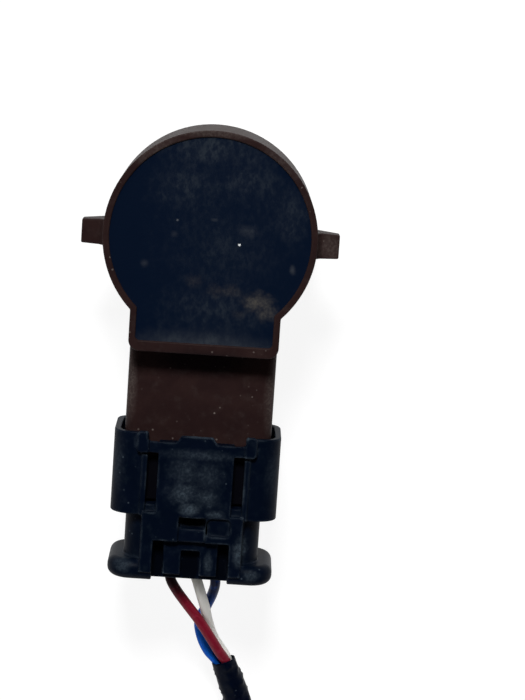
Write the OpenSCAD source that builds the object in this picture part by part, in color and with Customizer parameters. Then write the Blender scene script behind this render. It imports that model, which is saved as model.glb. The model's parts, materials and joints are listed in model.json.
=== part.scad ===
// Ultrasonic parking sensor with its mated three-way plug and a short cut pigtail.
// The origin is the middle of the sensing face. +Z points to the potted back, and the plug lies along -Y.

/* [Sensor can] */
// Outside diameter of the round can
can_d = 25.6; // [23:0.2:30]
// Wall of the can and of its tongue
can_wall = 0.8; // [0.6:0.1:1.2]
// Depth of the can from its front shoulder to its rim
can_depth = 13; // [12:0.5:16]
// How much narrower the can's radius is at its shoulder than at its rim
can_draft = 0.05; // [0:0.05:0.4]
// Thickness of the can's floor behind the shoulder
can_floor_t = 1.5; // [1.3:0.1:2]
// Drop of the fill below the rim
fill_drop = 0.3; // [0.1:0.1:0.8]
// Width of the tongue that carries the neck
tongue_w = 18; // [16.5:0.5:20]
// Reach of the tongue's lip from the sensing axis
tongue_reach = 14; // [13.5:0.5:16]
// Wall of the lip at the tongue's end
lip_wall = 1.3; // [1:0.1:1.6]
// Radius of the tongue's two corners
tongue_r = 1.3; // [1:0.1:2]

/* [Ears] */
// Overall span across the two ears
ear_span = 31; // [28:0.2:36]
// Width of an ear at its tip
ear_tip_w = 2.9; // [2:0.1:4]
// Width of an ear at its root
ear_root_w = 3.2; // [2.6:0.1:5]
// Thickness of an ear along the sensing axis
ear_t = 4; // [3:0.1:6]
// Drop of the ears below the rim
ear_drop = 3.5; // [1:0.1:5]
// Rise of the ramp on the front of an ear
ear_ramp = 1.8; // [0.6:0.1:2.4]
// Width of the sloped web between the back of an ear and the can
ear_web = 0.6; // [0.3:0.1:1]
// How far the middle of the ears lies towards the plug
ear_shift = 0.4; // [0:0.1:1]

/* [Barrel and transducer] */
// Length of the barrel in front of the shoulder
barrel_len = 5.3; // [4.5:0.1:7]
// Wall of the barrel
barrel_wall = 1.4; // [1:0.1:1.6]
// How far the sensing face stands out of the barrel
face_proud = 3.2; // [2:0.1:4]
// Outside diameter of the sensing cup
cup_d = 15.6; // [14.4:0.2:16.8]
// Wall of the sensing cup
cup_wall = 1.1; // [0.8:0.1:1.4]
// Thickness of the sensing membrane
membrane_t = 0.7; // [0.5:0.1:1]
// Radius of the cup's front edge
cup_edge_r = 0.6; // [0.3:0.1:0.9]
// Height of the flange at the back of the cup
cup_flange_h = 1.6; // [1.2:0.1:2]
// Step of that flange beyond the cup
cup_flange_step = 0.7; // [0.4:0.1:1]
// Thickness of the silicone ring round the cup
ring_t = 1.6; // [1.3:0.1:1.9]
// Thickness of the silicone behind the cup
ring_back_t = 0.6; // [0.4:0.1:0.8]
// How far the ring stands out of the barrel
ring_proud = 1.2; // [0.6:0.1:1.6]
// Thickness of the web behind the transducer
web_t = 1.2; // [0.9:0.1:1.3]
// Diameter of the hole in the web
web_hole_d = 9; // [7:0.5:10]
// Diameter of the piezo disc
piezo_d = 9; // [7:0.5:10]
// Thickness of the piezo disc
piezo_t = 0.8; // [0.5:0.1:1.2]
// Thickness of the damping pad
absorber_t = 3; // [2:0.1:3.6]
// Diameter of a piezo lead
lead_d = 0.5; // [0.4:0.1:0.7]
// Distance between the two piezo leads
lead_pitch = 3.2; // [2.4:0.2:4]

/* [Board] */
// Thickness of the circuit board
board_t = 1.2; // [0.8:0.1:1.6]
// Height of the board above the can's floor
board_lift = 4.6; // [4.2:0.1:5]
// Gap between the board's edge and the can
board_gap = 0.5; // [0.3:0.1:0.8]
// Diameter of the posts that carry the board
post_d = 2.2; // [1.6:0.1:2.6]
// Length of the driver chip
chip_l = 6; // [5:0.1:6.6]
// Width of the driver chip
chip_w = 5; // [4:0.1:5.4]
// Height of the driver chip
chip_h = 1.5; // [1:0.1:2]
// Side of the pulse transformer
coil_w = 5.8; // [5:0.1:6.2]
// Gap between the transformer and the can's floor
coil_gap = 0.4; // [0.2:0.1:0.8]
// Diameter of the storage capacitor
cap_d = 5; // [4:0.1:5.6]
// Fill over the storage capacitor
cap_cover = 1.2; // [0.8:0.1:1.8]

/* [Neck and socket] */
// Width of the neck
neck_w = 17.9; // [16.4:0.1:19.8]
// Thickness of the neck
neck_t = 8.9; // [8:0.1:9]
// Radius of the neck's long edges
neck_r = 1.4; // [1:0.1:2.4]
// Drop of the neck's back face below the rim
neck_step = 4; // [3.6:0.1:4.6]
// Length of bare neck between the lip and the plug
neck_show = 10.4; // [9:0.2:13]
// Side wall of the socket
socket_side = 1.5; // [1.1:0.1:1.7]
// Front and back wall of the socket
socket_wall = 1.3; // [1:0.1:1.4]
// Radius of the socket's corners
socket_r = 1.3; // [0.9:0.1:1.6]
// Solid root of the neck between the can's lip and the socket
socket_root = 6.4; // [5:0.2:8]
// Side of a square contact pin
pin_s = 0.64; // [0.5:0.02:0.8]
// Distance between the contact pins
pin_pitch = 2.7; // [2.6:0.1:3.2]
// Distance of the pins' upright legs from the edge of the board
pin_inset = 1.9; // [1.5:0.1:2.2]
// Length of the pins above the board
pin_stub = 0.8; // [0.4:0.1:1.4]

/* [Plug shell] */
// Gap between the collar and the neck
collar_gap = 0.45; // [0.2:0.05:0.6]
// Wall of the collar
collar_wall = 0.8; // [0.6:0.1:1.2]
// Length of the collar
collar_len = 10.2; // [9.6:0.2:13]
// Thickness of the wall that closes the collar
collar_floor_t = 1.4; // [1:0.1:1.8]
// Gap between the end of the neck and that wall
seat_gap = 0.3; // [0.1:0.1:0.6]
// Width of the window in the collar for the latch
window_w = 11.8; // [10.4:0.2:12.2]
// Width of the rails along the window
rail_w = 0.7; // [0.5:0.1:0.9]
// Height of the rails above the collar
rail_rise = 0.3; // [0.2:0.1:0.4]
// Width of the body behind the collar
body_w = 16.6; // [15:0.2:18]
// Thickness of the body behind the collar
body_t = 9.2; // [8.6:0.1:10]
// Radius of that body's long edges
body_r = 3; // [2:0.1:3.6]
// Length of the body between the collar and the finger flange
body_len = 5.7; // [4.6:0.1:7]
// Width of the finger flange
flange_w = 20.3; // [18:0.1:24]
// Height of the finger flange
flange_h = 11.9; // [11:0.1:12.6]
// Thickness of the finger flange
flange_t = 2.5; // [2.3:0.1:4]
// Corner radius of the finger flange
flange_r = 2.8; // [2.4:0.1:4.6]
// Rounding of the finger flange's edges
flange_edge_r = 1.1; // [0.6:0.1:1.1]
// Depth of the hood that the wires leave from
hood_depth = 2.6; // [2:0.1:2.8]
// Width of that hood
hood_w = 10; // [9.6:0.1:11]
// Height of that hood
hood_h = 5.8; // [4:0.1:6]

/* [Plug latch] */
// Rise of the latch arm above the collar
arm_rise = 0.55; // [0.3:0.05:1]
// Thickness of the latch arm
arm_t = 0.9; // [0.7:0.1:1]
// Width of the latch arm
arm_w = 9.2; // [8:0.1:9.6]
// Width of the cross bar
bar_w = 14.6; // [13:0.1:16]
// Length of the cross bar's horns along the plug
bar_len = 2.6; // [2.2:0.1:3.2]
// How far the horns reach past the collar's rim
bar_reach = 0.3; // [0:0.1:0.8]
// Dip of the bar's edge between the horns
bar_dip = 1.2; // [0.6:0.1:1.4]
// Width of a horn
horn_w = 1.3; // [0.9:0.1:1.6]
// Rise of a horn above the bar
horn_rise = 0.3; // [0.1:0.1:0.5]
// Gap between the cross bar and the collar
bar_gap = 0.15; // [0.1:0.05:0.3]
// Width of the nose in the middle of the bar
nose_w = 5; // [4:0.1:6]
// Height of the catch on the neck
catch_h = 0.8; // [0.5:0.1:0.8]
// Length of the catch's ramp
catch_len = 3.4; // [2.4:0.1:4.4]
// Width of the catch
catch_w = 5; // [4:0.1:8]
// Play between the latch, the neck and the catch
latch_play = 0.2; // [0.1:0.05:0.25]
// Width of the block that the arm grows from
block_w = 12.4; // [12:0.1:13.4]
// Width of the press pad
pad_w = 6.7; // [5.6:0.1:7]
// Thickness of the press pad
pad_t = 0.9; // [0.7:0.1:1]
// Gap on each side of the press pad
pad_gap = 1.3; // [0.8:0.1:1.5]
// Width of the slot in the press pad
pad_slot_w = 2.3; // [1.6:0.1:3]
// Length of solid block above the press pad
bridge_len = 3.5; // [2.8:0.1:4]

/* [Plug inside] */
// Gap between the terminal nose and the socket
nose_gap = 0.5; // [0.3:0.05:0.6]
// Gap between the tip of the plug and the bottom of the socket
tip_gap = 1.4; // [0.8:0.1:2]
// Thickness of the front retainer
retainer_t = 1.6; // [1.2:0.1:2]
// Side of a terminal
terminal_s = 1.8; // [1.6:0.1:1.9]
// Length of a terminal's contact box
terminal_len = 8; // [7.4:0.1:8.4]
// Length of a terminal's crimp
crimp_len = 3.5; // [2.6:0.1:4]
// Diameter of a terminal's crimp
crimp_d = 1.6; // [1.3:0.1:1.9]
// Play of a terminal in its cell
cell_play = 0.1; // [0.05:0.05:0.2]
// Length of the socket seal
seal_len = 3; // [2:0.1:3.6]
// Diameter of the rear bores for the wire seals
seal_bore_d = 2.4; // [2.2:0.05:2.5]
// Length of a wire seal
wire_seal_len = 4; // [3:0.1:4.2]
// Fitting gap of the pieces that lie against each other
fit_gap = 0.02; // [0.01:0.01:0.05]

/* [Pigtail] */
// Outside diameter of a wire
wire_d = 1.3; // [1.1:0.05:1.4]
// Outside diameter of the sleeve
sleeve_d = 3.5; // [3.4:0.1:4]
// Wall of the sleeve
sleeve_wall = 0.24; // [0.15:0.01:0.3]
// Diameter of the bare copper ends
core_d = 0.75; // [0.6:0.05:0.9]
// Length of the bare copper ends
core_len = 3.5; // [2:0.5:6]

/* [Hidden] */
$fn = 64;
// Overshoot of a cut beyond the face that it opens
cut = 1;

// Radii of the sensor
can_r = can_d / 2;
bore_r = cup_d / 2 + ring_t;
barrel_r = bore_r + barrel_wall;
cup_r = cup_d / 2;
cup_bore_r = cup_r - cup_wall;

// Heights along the sensing axis
shoulder_z = face_proud + barrel_len;
floor_z = shoulder_z + can_floor_t;
seat_z = floor_z - web_t;
cup_h = seat_z - ring_back_t;
back_z = shoulder_z + can_depth;
fill_z = back_z - fill_drop;
neck_back_z = back_z - neck_step;
neck_z = neck_back_z - neck_t / 2;
piezo_z = membrane_t + piezo_t;
filler_z = piezo_z + absorber_t;
board_z = floor_z + board_lift;
board_top_z = board_z + board_t;
ear_back_z = back_z - ear_drop;

// Distances from the sensing axis along the plug
socket_at = tongue_reach + socket_root;
collar_at = tongue_reach + neck_show;
collar_end = collar_at + collar_len;
collar_floor_at = collar_end - collar_floor_t;
neck_end = collar_floor_at - seat_gap;
tip_at = socket_at + tip_gap;
nose_at = tip_at + retainer_t;
terminal_at = nose_at + cell_play;
crimp_at = terminal_at + terminal_len;
wire_at = crimp_at + crimp_len;
cell_end = crimp_at + cell_play;
flange_at = collar_end + body_len;
plug_end = flange_at + flange_t;
hood_at = plug_end - hood_depth;
terminal_back_t = 1.4;
pin_depth = terminal_len - terminal_back_t;
pin_tip_gap = 1;
pin_tip_at = terminal_at + pin_depth - pin_tip_gap;
pin_taper = 0.7;

// Sections of the neck, the socket and the plug
socket_w = neck_w - 2 * socket_side;
socket_t = neck_t - 2 * socket_wall;
nose_tip_w = socket_w - 2 * nose_gap;
nose_tip_t = socket_t - 2 * nose_gap;
nose_r = socket_r - nose_gap;
collar_room_w = neck_w + 2 * collar_gap;
collar_room_t = neck_t + 2 * collar_gap;
collar_w = collar_room_w + 2 * collar_wall;
collar_t = collar_room_t + 2 * collar_wall;
collar_room_r = neck_r + collar_gap;
collar_r = collar_room_r + collar_wall;
cell_s = terminal_s + 2 * cell_play;

// Heights and places of the latch
collar_top_z = neck_z + collar_t / 2;
arm_top_z = collar_top_z + arm_rise;
arm_z = arm_top_z - arm_t;
bar_z = collar_top_z + bar_gap;
bar_top_z = arm_top_z + horn_rise;
bar_at = collar_at - bar_reach;
bar_end = bar_at + bar_len;
bar_edge_r = 0.55;
horn_lap = 0.2;
hook_z = neck_back_z + latch_play;
catch_at = bar_end + latch_play;
catch_z = neck_back_z + catch_h;
catch_flat = 1.1;
nose_top_w = 3.8;
block_overlap = 0.5;
block_at = collar_end - block_overlap;
block_end = plug_end - flange_edge_r;
pad_at = block_at + bridge_len;
pad_inset = 0.8;
pad_end = plug_end - pad_inset;
pad_floor_t = 0.7;
pad_room_z = neck_z + hood_h / 2 + pad_floor_t;
pad_travel = 0.6;
pad_z = pad_room_z + pad_travel;
pad_root_len = 1.3;
pad_slot_at = pad_at + pad_root_len;
hole_w = 3.3;
hole_len = 1.45;
hole_inset = 0.4;
hole_at = block_at + hole_inset;
ledge_depth = 0.25;
notch_w = 2.8;
notch_len = 2.2;
notch_depth = 0.5;
notch_gap = 0.2;
notch_x = (hole_w + notch_w) / 2 + notch_gap;
thumb_r = hole_w / 2;
thumb_rise = 0.3;
thumb_dome_r = (thumb_r * thumb_r + thumb_rise * thumb_rise) / (2 * thumb_rise);

// Places on the board
board_r = can_r - can_wall - board_gap;
board_reach = tongue_reach - lip_wall - board_gap;
post_inset = 1;
post_ring_r = board_r - post_d / 2 - post_inset;
post_angles = [90, 205, 335];
coil_h = board_lift - coil_gap;
coil_corner = [-1.8, 0.6];
coil_at = coil_corner + [-coil_w / 2, coil_w / 2];
chip_edge = [-1.8, -0.4];
chip_at = chip_edge - [0, chip_w / 2];
cap_corner = [2.6, 0.6];
cap_at = cap_corner + [cap_d / 2, cap_d / 2];
cap_h = fill_z - cap_cover - board_top_z;
chip_part_size = [1.25, 2, 0.8];
chip_part_pitch = 2.6;
chip_part_gap = 1.2;
chip_part_at = chip_w - chip_edge[1] + chip_part_gap + chip_part_size[1] / 2;
pin_leg_at = board_reach - pin_inset;
pin_hole_d = 1.1;

// Route of the sleeve, from its mouth along the floor to its cut end
sleeve_route = [
    [5.0, -56.1, 5.6], [5.9, -58.6, 4.1], [7.0, -61.6, 2.7], [8.2, -65.6, 1.9], [9.0, -70.6, 1.8],
    [9.0, -76.1, 1.8], [7.8, -81.6, 1.8], [5.4, -86.6, 1.8], [1.8, -90.8, 1.8], [-2.8, -93.6, 1.8]
];
// Free stretches of the wires between the plug and the sleeve
red_route = [
    [-2.7, -41.6, 13.0], [-2.3, -43.9, 12.9], [-1.5, -45.4, 12.4], [-0.1, -47.4, 11.5],
    [1.6, -49.8, 10.2], [3.1, -52.2, 9.0], [4.3, -54.3, 7.7]
];
white_route = [
    [0.1, -41.6, 13.0], [1.0, -43.9, 12.8], [1.5, -45.5, 12.1], [2.2, -47.9, 10.5],
    [2.7, -50.2, 8.6], [3.5, -52.7, 6.7], [4.6, -54.7, 5.3]
];
blue_route = [
    [2.8, -41.6, 12.8], [3.3, -44.0, 12.0], [3.1, -46.0, 10.3], [2.4, -48.3, 8.5],
    [1.6, -50.7, 7.0], [2.0, -52.9, 6.4], [2.9, -54.8, 5.9]
];
// Loose tails past the end of the sleeve
red_tail = [[-4.2, -95.8, 2.0], [-6.6, -98.0, 0.7], [-9.6, -100.2, 0.7]];
white_tail = [[-6.8, -95.6, 0.7], [-11.2, -97.4, 0.7]];
blue_tail = [[-6.8, -93.8, 0.7], [-11.6, -94.4, 0.7]];
// Angles of the wires in the sleeve's section
red_angle = 60;
white_angle = -60;
blue_angle = 180;
wire_sides = 8;
sleeve_sides = 12;
seal_ribs = 4;
seal_groove = 0.15;
// Three wires that touch each other lie this far from the sleeve's middle line
bundle_r = wire_d / sqrt(3) + fit_gap;

// Flat rectangle with four round corners, centred
module round_rect(w, h, r) {
    square([w - 2 * r, h], center = true);
    square([w, h - 2 * r], center = true);
    for (x = [-1, 1], y = [-1, 1])
        translate([x * (w / 2 - r), y * (h / 2 - r)])
            circle(r);
}

// Plan outline raised between two heights
module level(z0, z1) {
    translate([0, 0, z0])
        linear_extrude(z1 - z0)
            children();
}

// Section drawn round the neck's middle line, run back along the plug between two distances
module run_back(from, to) {
    translate([0, -from, neck_z])
        rotate([90, 0, 0])
            linear_extrude(to - from)
                children();
}

// Plan rectangle between two sides and two distances along the plug
module patch(x0, x1, from, to) {
    translate([x0, -to])
        square([x1 - x0, to - from]);
}

// Radius of the can's outside at a height
function can_radius(z) = can_r - can_draft * (back_z - z) / can_depth;

// Plan of the tongue, drawn in by one margin at its sides and by another at its end
module tongue_plan(margin, end_margin) {
    half = tongue_w / 2 - margin;
    reach = tongue_reach - end_margin;
    corner = tongue_r - margin;
    patch(-half, half, 0, reach - corner);
    patch(-half + corner, half - corner, 0, reach);
    for (x = [-1, 1])
        translate([x * (half - corner), -reach + corner])
            circle(corner);
}

// Can with its tongue between two heights, drawn in by a margin and at the lip by another
module can_shape(z0, z1, margin, end_margin) {
    translate([0, 0, z0])
        cylinder(r1 = can_radius(z0) - margin, r2 = can_radius(z1) - margin, h = z1 - z0);
    level(z0, z1)
        tongue_plan(margin, end_margin);
}

// Right-hand ear: a tapered plan, a ramp on its front and a sloped web on its back
module ear() {
    root_half = ear_root_w / 2;
    tip_half = ear_tip_w / 2;
    tip_x = ear_span / 2;
    embed_x = can_r - can_wall;
    web_z = ear_back_z + ear_web + can_wall;
    translate([0, -ear_shift, 0])
        intersection() {
            level(ear_back_z - ear_t, web_z)
                polygon([[embed_x, -root_half], [tip_x, -tip_half], [tip_x, tip_half], [embed_x, root_half]]);
            rotate([90, 0, 0])
                linear_extrude(ear_root_w + 2 * cut, center = true)
                    polygon([
                        [embed_x, ear_back_z - ear_t], [can_r, ear_back_z - ear_t],
                        [tip_x, ear_back_z - ear_t + ear_ramp], [tip_x, ear_back_z],
                        [can_r + ear_web, ear_back_z], [embed_x, web_z]
                    ]);
        }
}

// Catch on the back of the neck, steep towards the can and ramped towards the plug
module latch_catch() {
    sunk = 0.5;
    rotate([90, 0, 90])
        linear_extrude(catch_w, center = true)
            polygon([
                [-catch_at, neck_back_z - sunk], [-catch_at, catch_z], [-catch_at - catch_flat, catch_z],
                [-catch_at - catch_len, neck_back_z], [-catch_at - catch_len, neck_back_z - sunk]
            ]);
}

// Posts that carry the board
module board_posts() {
    for (a = post_angles)
        rotate(a)
            translate([post_ring_r, 0, seat_z])
                cylinder(d = post_d, h = board_z - seat_z);
}

// Room inside the can that the fill takes up
module fill_room() {
    can_shape(floor_z, fill_z, can_wall, lip_wall);
    translate([0, 0, cup_h])
        cylinder(d = web_hole_d, h = floor_z - cup_h + fit_gap);
}

module sensor_housing() {
    color("#33231f") {
        difference() {
            union() {
                can_shape(shoulder_z, back_z, 0, 0);
                translate([0, 0, face_proud])
                    cylinder(r = barrel_r, h = floor_z - face_proud);
                ear();
                mirror([1, 0, 0])
                    ear();
                run_back(tongue_reach - lip_wall, neck_end)
                    round_rect(neck_w, neck_t, neck_r);
                latch_catch();
            }
            can_shape(floor_z, back_z + cut, can_wall, lip_wall);
            translate([0, 0, face_proud - cut])
                cylinder(r = bore_r, h = seat_z - face_proud + cut);
            translate([0, 0, seat_z - cut])
                cylinder(d = web_hole_d, h = web_t + 2 * cut);
            run_back(socket_at, neck_end + cut)
                round_rect(socket_w, socket_t, socket_r);
            for (i = [-1, 0, 1])
                run_back(tongue_reach - lip_wall - cut, socket_at + cut)
                    translate([i * pin_pitch, 0])
                        square(pin_s, center = true);
        }
        board_posts();
    }
}

module potting_compound() {
    color("#0c1622")
        difference() {
            fill_room();
            board_posts();
            circuit_board_solid();
            driver_chip();
            pulse_transformer();
            storage_capacitor();
            chip_parts();
            for (i = [-1, 0, 1])
                contact_pin(i);
            for (i = [-1, 1])
                piezo_lead(i);
        }
}

module transducer_cup() {
    color("#4a3a36")
        rotate_extrude()
            difference() {
                union() {
                    translate([0, cup_edge_r])
                        square([cup_r, cup_h - cup_edge_r]);
                    square([cup_r - cup_edge_r, cup_h]);
                    translate([cup_r - cup_edge_r, cup_edge_r])
                        intersection() {
                            circle(cup_edge_r);
                            translate([0, -cup_edge_r])
                                square(cup_edge_r);
                        }
                    translate([0, cup_h - cup_flange_h])
                        square([cup_r + cup_flange_step, cup_flange_h]);
                }
                translate([-cut, membrane_t])
                    square([cup_bore_r + cut, cup_h]);
            }
}

// Silicone ring with a pocket for the cup's flange and a rear lip against the web
module decoupling_ring() {
    front_z = face_proud - ring_proud;
    color("#1b1b1d")
        rotate_extrude()
            difference() {
                union() {
                    translate([cup_r + fit_gap, face_proud])
                        square([bore_r - fit_gap - cup_r - fit_gap, seat_z - face_proud]);
                    translate([cup_r + fit_gap, front_z])
                        square([ring_t / 2, face_proud - front_z]);
                    translate([cup_r + fit_gap + ring_t / 2, face_proud])
                        intersection() {
                            circle(ring_t / 2 - 2 * fit_gap);
                            translate([0, -ring_t])
                                square(ring_t);
                        }
                    translate([web_hole_d / 2, cup_h])
                        square([bore_r - fit_gap - web_hole_d / 2, seat_z - cup_h]);
                }
                translate([0, cup_h - cup_flange_h - fit_gap])
                    square([cup_r + cup_flange_step + fit_gap, cup_flange_h + fit_gap]);
            }
}

module piezo_disc() {
    color("#d8d2c0")
        translate([0, 0, membrane_t])
            cylinder(d = piezo_d, h = piezo_t);
}

// Disc in the cup with holes for the two leads
module cup_disc(z0, z1) {
    difference() {
        translate([0, 0, z0])
            cylinder(r = cup_bore_r - fit_gap, h = z1 - z0);
        for (i = [-1, 1])
            translate([i * lead_pitch / 2, 0, z0 - cut])
                cylinder(d = lead_d + 2 * fit_gap, h = z1 - z0 + 2 * cut);
    }
}

module absorber_pad() {
    color("#6b6b66")
        cup_disc(piezo_z, filler_z);
}

module cup_filler() {
    color("#b9b9b4")
        cup_disc(filler_z, cup_h);
}

// Lead from the piezo disc to the underside of the board
module piezo_lead(i) {
    color("#b0483a")
        translate([i * lead_pitch / 2, 0, piezo_z])
            cylinder(d = lead_d, h = board_z - piezo_z);
}

// Board outline without its holes
module circuit_board_solid() {
    level(board_z, board_top_z) {
        circle(board_r);
        tongue_plan(can_wall + board_gap, lip_wall + board_gap);
    }
}

module circuit_board() {
    color("#1f5a3a")
        difference() {
            circuit_board_solid();
            for (i = [-1, 0, 1])
                translate([i * pin_pitch, -pin_leg_at, board_z - cut])
                    cylinder(d = pin_hole_d, h = board_t + 2 * cut);
        }
}

module driver_chip() {
    color("#202022")
        translate([chip_at[0] - chip_l / 2, chip_at[1] - chip_w / 2, board_top_z])
            cube([chip_l, chip_w, chip_h]);
}

// Transformer block under the board
module pulse_transformer() {
    color("#3a3a3e")
        translate([coil_at[0] - coil_w / 2, coil_at[1] - coil_w / 2, board_z - coil_h])
            cube([coil_w, coil_w, coil_h]);
}

module storage_capacitor() {
    color("#a9adb2")
        translate([cap_at[0], cap_at[1], board_top_z])
            cylinder(d = cap_d, h = cap_h);
}

// Row of small resistors and capacitors
module chip_parts() {
    color("#8a7a5c")
        for (i = [-1.5:1:1.5])
            translate([i * chip_part_pitch, -chip_part_at, board_top_z + chip_part_size[2] / 2])
                cube(chip_part_size, center = true);
}

// Bent contact pin: a leg through the board and a tapered blade in the socket
module contact_pin(i) {
    half = pin_s / 2;
    top_z = board_top_z + pin_stub;
    color("#c8b26a")
        translate([i * pin_pitch, 0, 0])
            rotate([90, 0, 90])
                linear_extrude(pin_s, center = true)
                    polygon([
                        [-pin_leg_at + half, top_z], [-pin_leg_at - half, top_z],
                        [-pin_leg_at - half, neck_z + half], [-pin_tip_at + pin_taper, neck_z + half],
                        [-pin_tip_at, neck_z + half / 2], [-pin_tip_at, neck_z - half / 2],
                        [-pin_tip_at + pin_taper, neck_z - half], [-pin_leg_at + half, neck_z - half]
                    ]);
}

// Finger flange with rounded edges, built from corner, side and middle pieces of one edge profile
module finger_flange() {
    run_w = flange_w - 2 * flange_r;
    run_h = flange_h - 2 * flange_r;
    translate([0, -flange_at - flange_t / 2, neck_z])
        rotate([90, 0, 0]) {
            cube([run_w, run_h, flange_t], center = true);
            for (quarter = [0:3]) {
                wide = quarter % 2 == 0;
                rotate(90 * quarter)
                    translate([(wide ? run_w : run_h) / 2, (wide ? run_h : run_w) / 2, 0]) {
                        rotate_extrude(angle = 90)
                            flange_profile();
                        rotate([90, 0, 0])
                            linear_extrude(wide ? run_h : run_w)
                                flange_profile();
                    }
            }
        }
}

// Half section of the finger flange from its corner centre outwards
module flange_profile() {
    half = flange_t / 2;
    translate([0, -half])
        square([flange_r - flange_edge_r, flange_t]);
    translate([0, -half + flange_edge_r])
        square([flange_r, flange_t - 2 * flange_edge_r]);
    for (y = [-1, 1])
        translate([flange_r - flange_edge_r, y * (half - flange_edge_r)])
            intersection() {
                circle(flange_edge_r);
                translate([0, -flange_edge_r])
                    square([flange_edge_r, 2 * flange_edge_r]);
            }
}

// Collar round the neck, open in the middle of its back wall for the latch
module collar() {
    difference() {
        run_back(collar_at, collar_end)
            round_rect(collar_w, collar_t, collar_r);
        run_back(collar_at - cut, collar_floor_at)
            round_rect(collar_room_w, collar_room_t, collar_room_r);
        level(neck_back_z, collar_top_z + cut)
            patch(-window_w / 2, window_w / 2, collar_at - cut, collar_floor_at);
    }
    for (x = [-1, 1])
        level(collar_top_z - collar_wall, collar_top_z + rail_rise)
            translate([x * (window_w + rail_w) / 2, 0])
                patch(-rail_w / 2, rail_w / 2, catch_at, collar_end);
}

// Plan of the cross bar: two horns, a dip between them and a tapered nose in the middle
module bar_plan() {
    middle_at = bar_at + bar_len / 2;
    difference() {
        translate([0, -middle_at])
            round_rect(bar_w, bar_len, bar_edge_r);
        translate([0, -bar_at])
            round_rect(bar_w - 2 * horn_w, 2 * bar_dip, bar_edge_r);
    }
    polygon([
        [-nose_w / 2, -bar_at - bar_dip], [-nose_top_w / 2, -collar_at], [nose_top_w / 2, -collar_at],
        [nose_w / 2, -bar_at - bar_dip]
    ]);
}

// Latch arm: cross bar with its hook, arm, block and press pad
module latch() {
    pad_room_w = pad_w + 2 * pad_gap;
    horn_x = bar_w / 2 - horn_w - horn_lap;
    level(bar_z, arm_top_z)
        bar_plan();
    level(arm_top_z, bar_top_z)
        difference() {
            bar_plan();
            patch(-horn_x, horn_x, bar_at - cut, bar_end + cut);
        }
    level(hook_z, arm_top_z)
        patch(-arm_w / 2, arm_w / 2, bar_at + bar_dip, bar_end);
    level(arm_z, arm_top_z)
        patch(-arm_w / 2, arm_w / 2, bar_end, block_at);
    intersection() {
        translate([0, -hole_at, arm_top_z + thumb_rise - thumb_dome_r])
            sphere(thumb_dome_r);
        level(arm_z, arm_top_z + thumb_rise)
            patch(-thumb_r, thumb_r, hole_at - thumb_r, hole_at);
    }
    difference() {
        level(pad_room_z, arm_top_z)
            patch(-block_w / 2, block_w / 2, block_at, block_end);
        level(pad_room_z - cut, arm_top_z + cut)
            patch(-pad_room_w / 2, pad_room_w / 2, pad_at, plug_end + cut);
        level(pad_room_z, arm_top_z + cut)
            patch(-hole_w / 2, hole_w / 2, hole_at, hole_at + hole_len);
        level(arm_top_z - ledge_depth, arm_top_z + cut)
            patch(-hole_w / 2, hole_w / 2, hole_at, pad_at + cut);
        level(arm_top_z - notch_depth, arm_top_z + cut)
            translate([notch_x, -hole_at - notch_len / 2])
                round_rect(notch_w, notch_len, bar_edge_r);
    }
    level(pad_z, pad_z + pad_t)
        difference() {
            patch(-pad_w / 2, pad_w / 2, pad_at - bar_edge_r, pad_end);
            patch(-pad_slot_w / 2, pad_slot_w / 2, pad_slot_at, pad_end + cut);
        }
}

module plug_housing() {
    pad_room_w = pad_w + 2 * pad_gap;
    color("#101a26")
        difference() {
            union() {
                collar();
                difference() {
                    union() {
                        run_back(collar_end, flange_at)
                            round_rect(body_w, body_t, body_r);
                        finger_flange();
                    }
                    level(pad_room_z, arm_top_z + cut)
                        patch(-pad_room_w / 2, pad_room_w / 2, pad_at, plug_end + cut);
                }
                latch();
                run_back(nose_at, collar_floor_at)
                    round_rect(nose_tip_w, nose_tip_t, nose_r);
            }
            for (i = [-1, 0, 1]) {
                run_back(nose_at - cut, cell_end)
                    translate([i * pin_pitch, 0])
                        square(cell_s, center = true);
                run_back(cell_end - cut, plug_end + cut)
                    translate([i * pin_pitch, 0])
                        circle(d = seal_bore_d);
            }
            run_back(hood_at, plug_end + cut)
                round_rect(hood_w, hood_h, bar_edge_r);
        }
}

// Cap on the tip of the terminal nose with three pin entries
module front_retainer() {
    entry = pin_s + 4 * cell_play;
    color("#7d2f1e")
        difference() {
            run_back(tip_at, nose_at)
                round_rect(nose_tip_w, nose_tip_t, nose_r);
            for (i = [-1, 0, 1])
                run_back(tip_at - cut, nose_at + cut)
                    translate([i * pin_pitch, 0])
                        square(entry, center = true);
        }
}

module socket_seal() {
    color("#7a3a28")
        difference() {
            run_back(neck_end - seal_len, neck_end)
                round_rect(socket_w - 2 * fit_gap, socket_t - 2 * fit_gap, socket_r - fit_gap);
            run_back(neck_end - seal_len - cut, neck_end + cut)
                round_rect(nose_tip_w + 2 * fit_gap, nose_tip_t + 2 * fit_gap, nose_r + fit_gap);
        }
}

// Female contact: a box over the pin and a round crimp over the wire
module terminal(i) {
    pin_room = pin_s + 2 * fit_gap;
    color("#b9bdc2")
        translate([i * pin_pitch, 0, 0]) {
            difference() {
                run_back(terminal_at, crimp_at)
                    square(terminal_s, center = true);
                run_back(terminal_at - cut, terminal_at + pin_depth)
                    square(pin_room, center = true);
            }
            run_back(crimp_at, wire_at)
                circle(d = crimp_d);
        }
}

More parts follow.
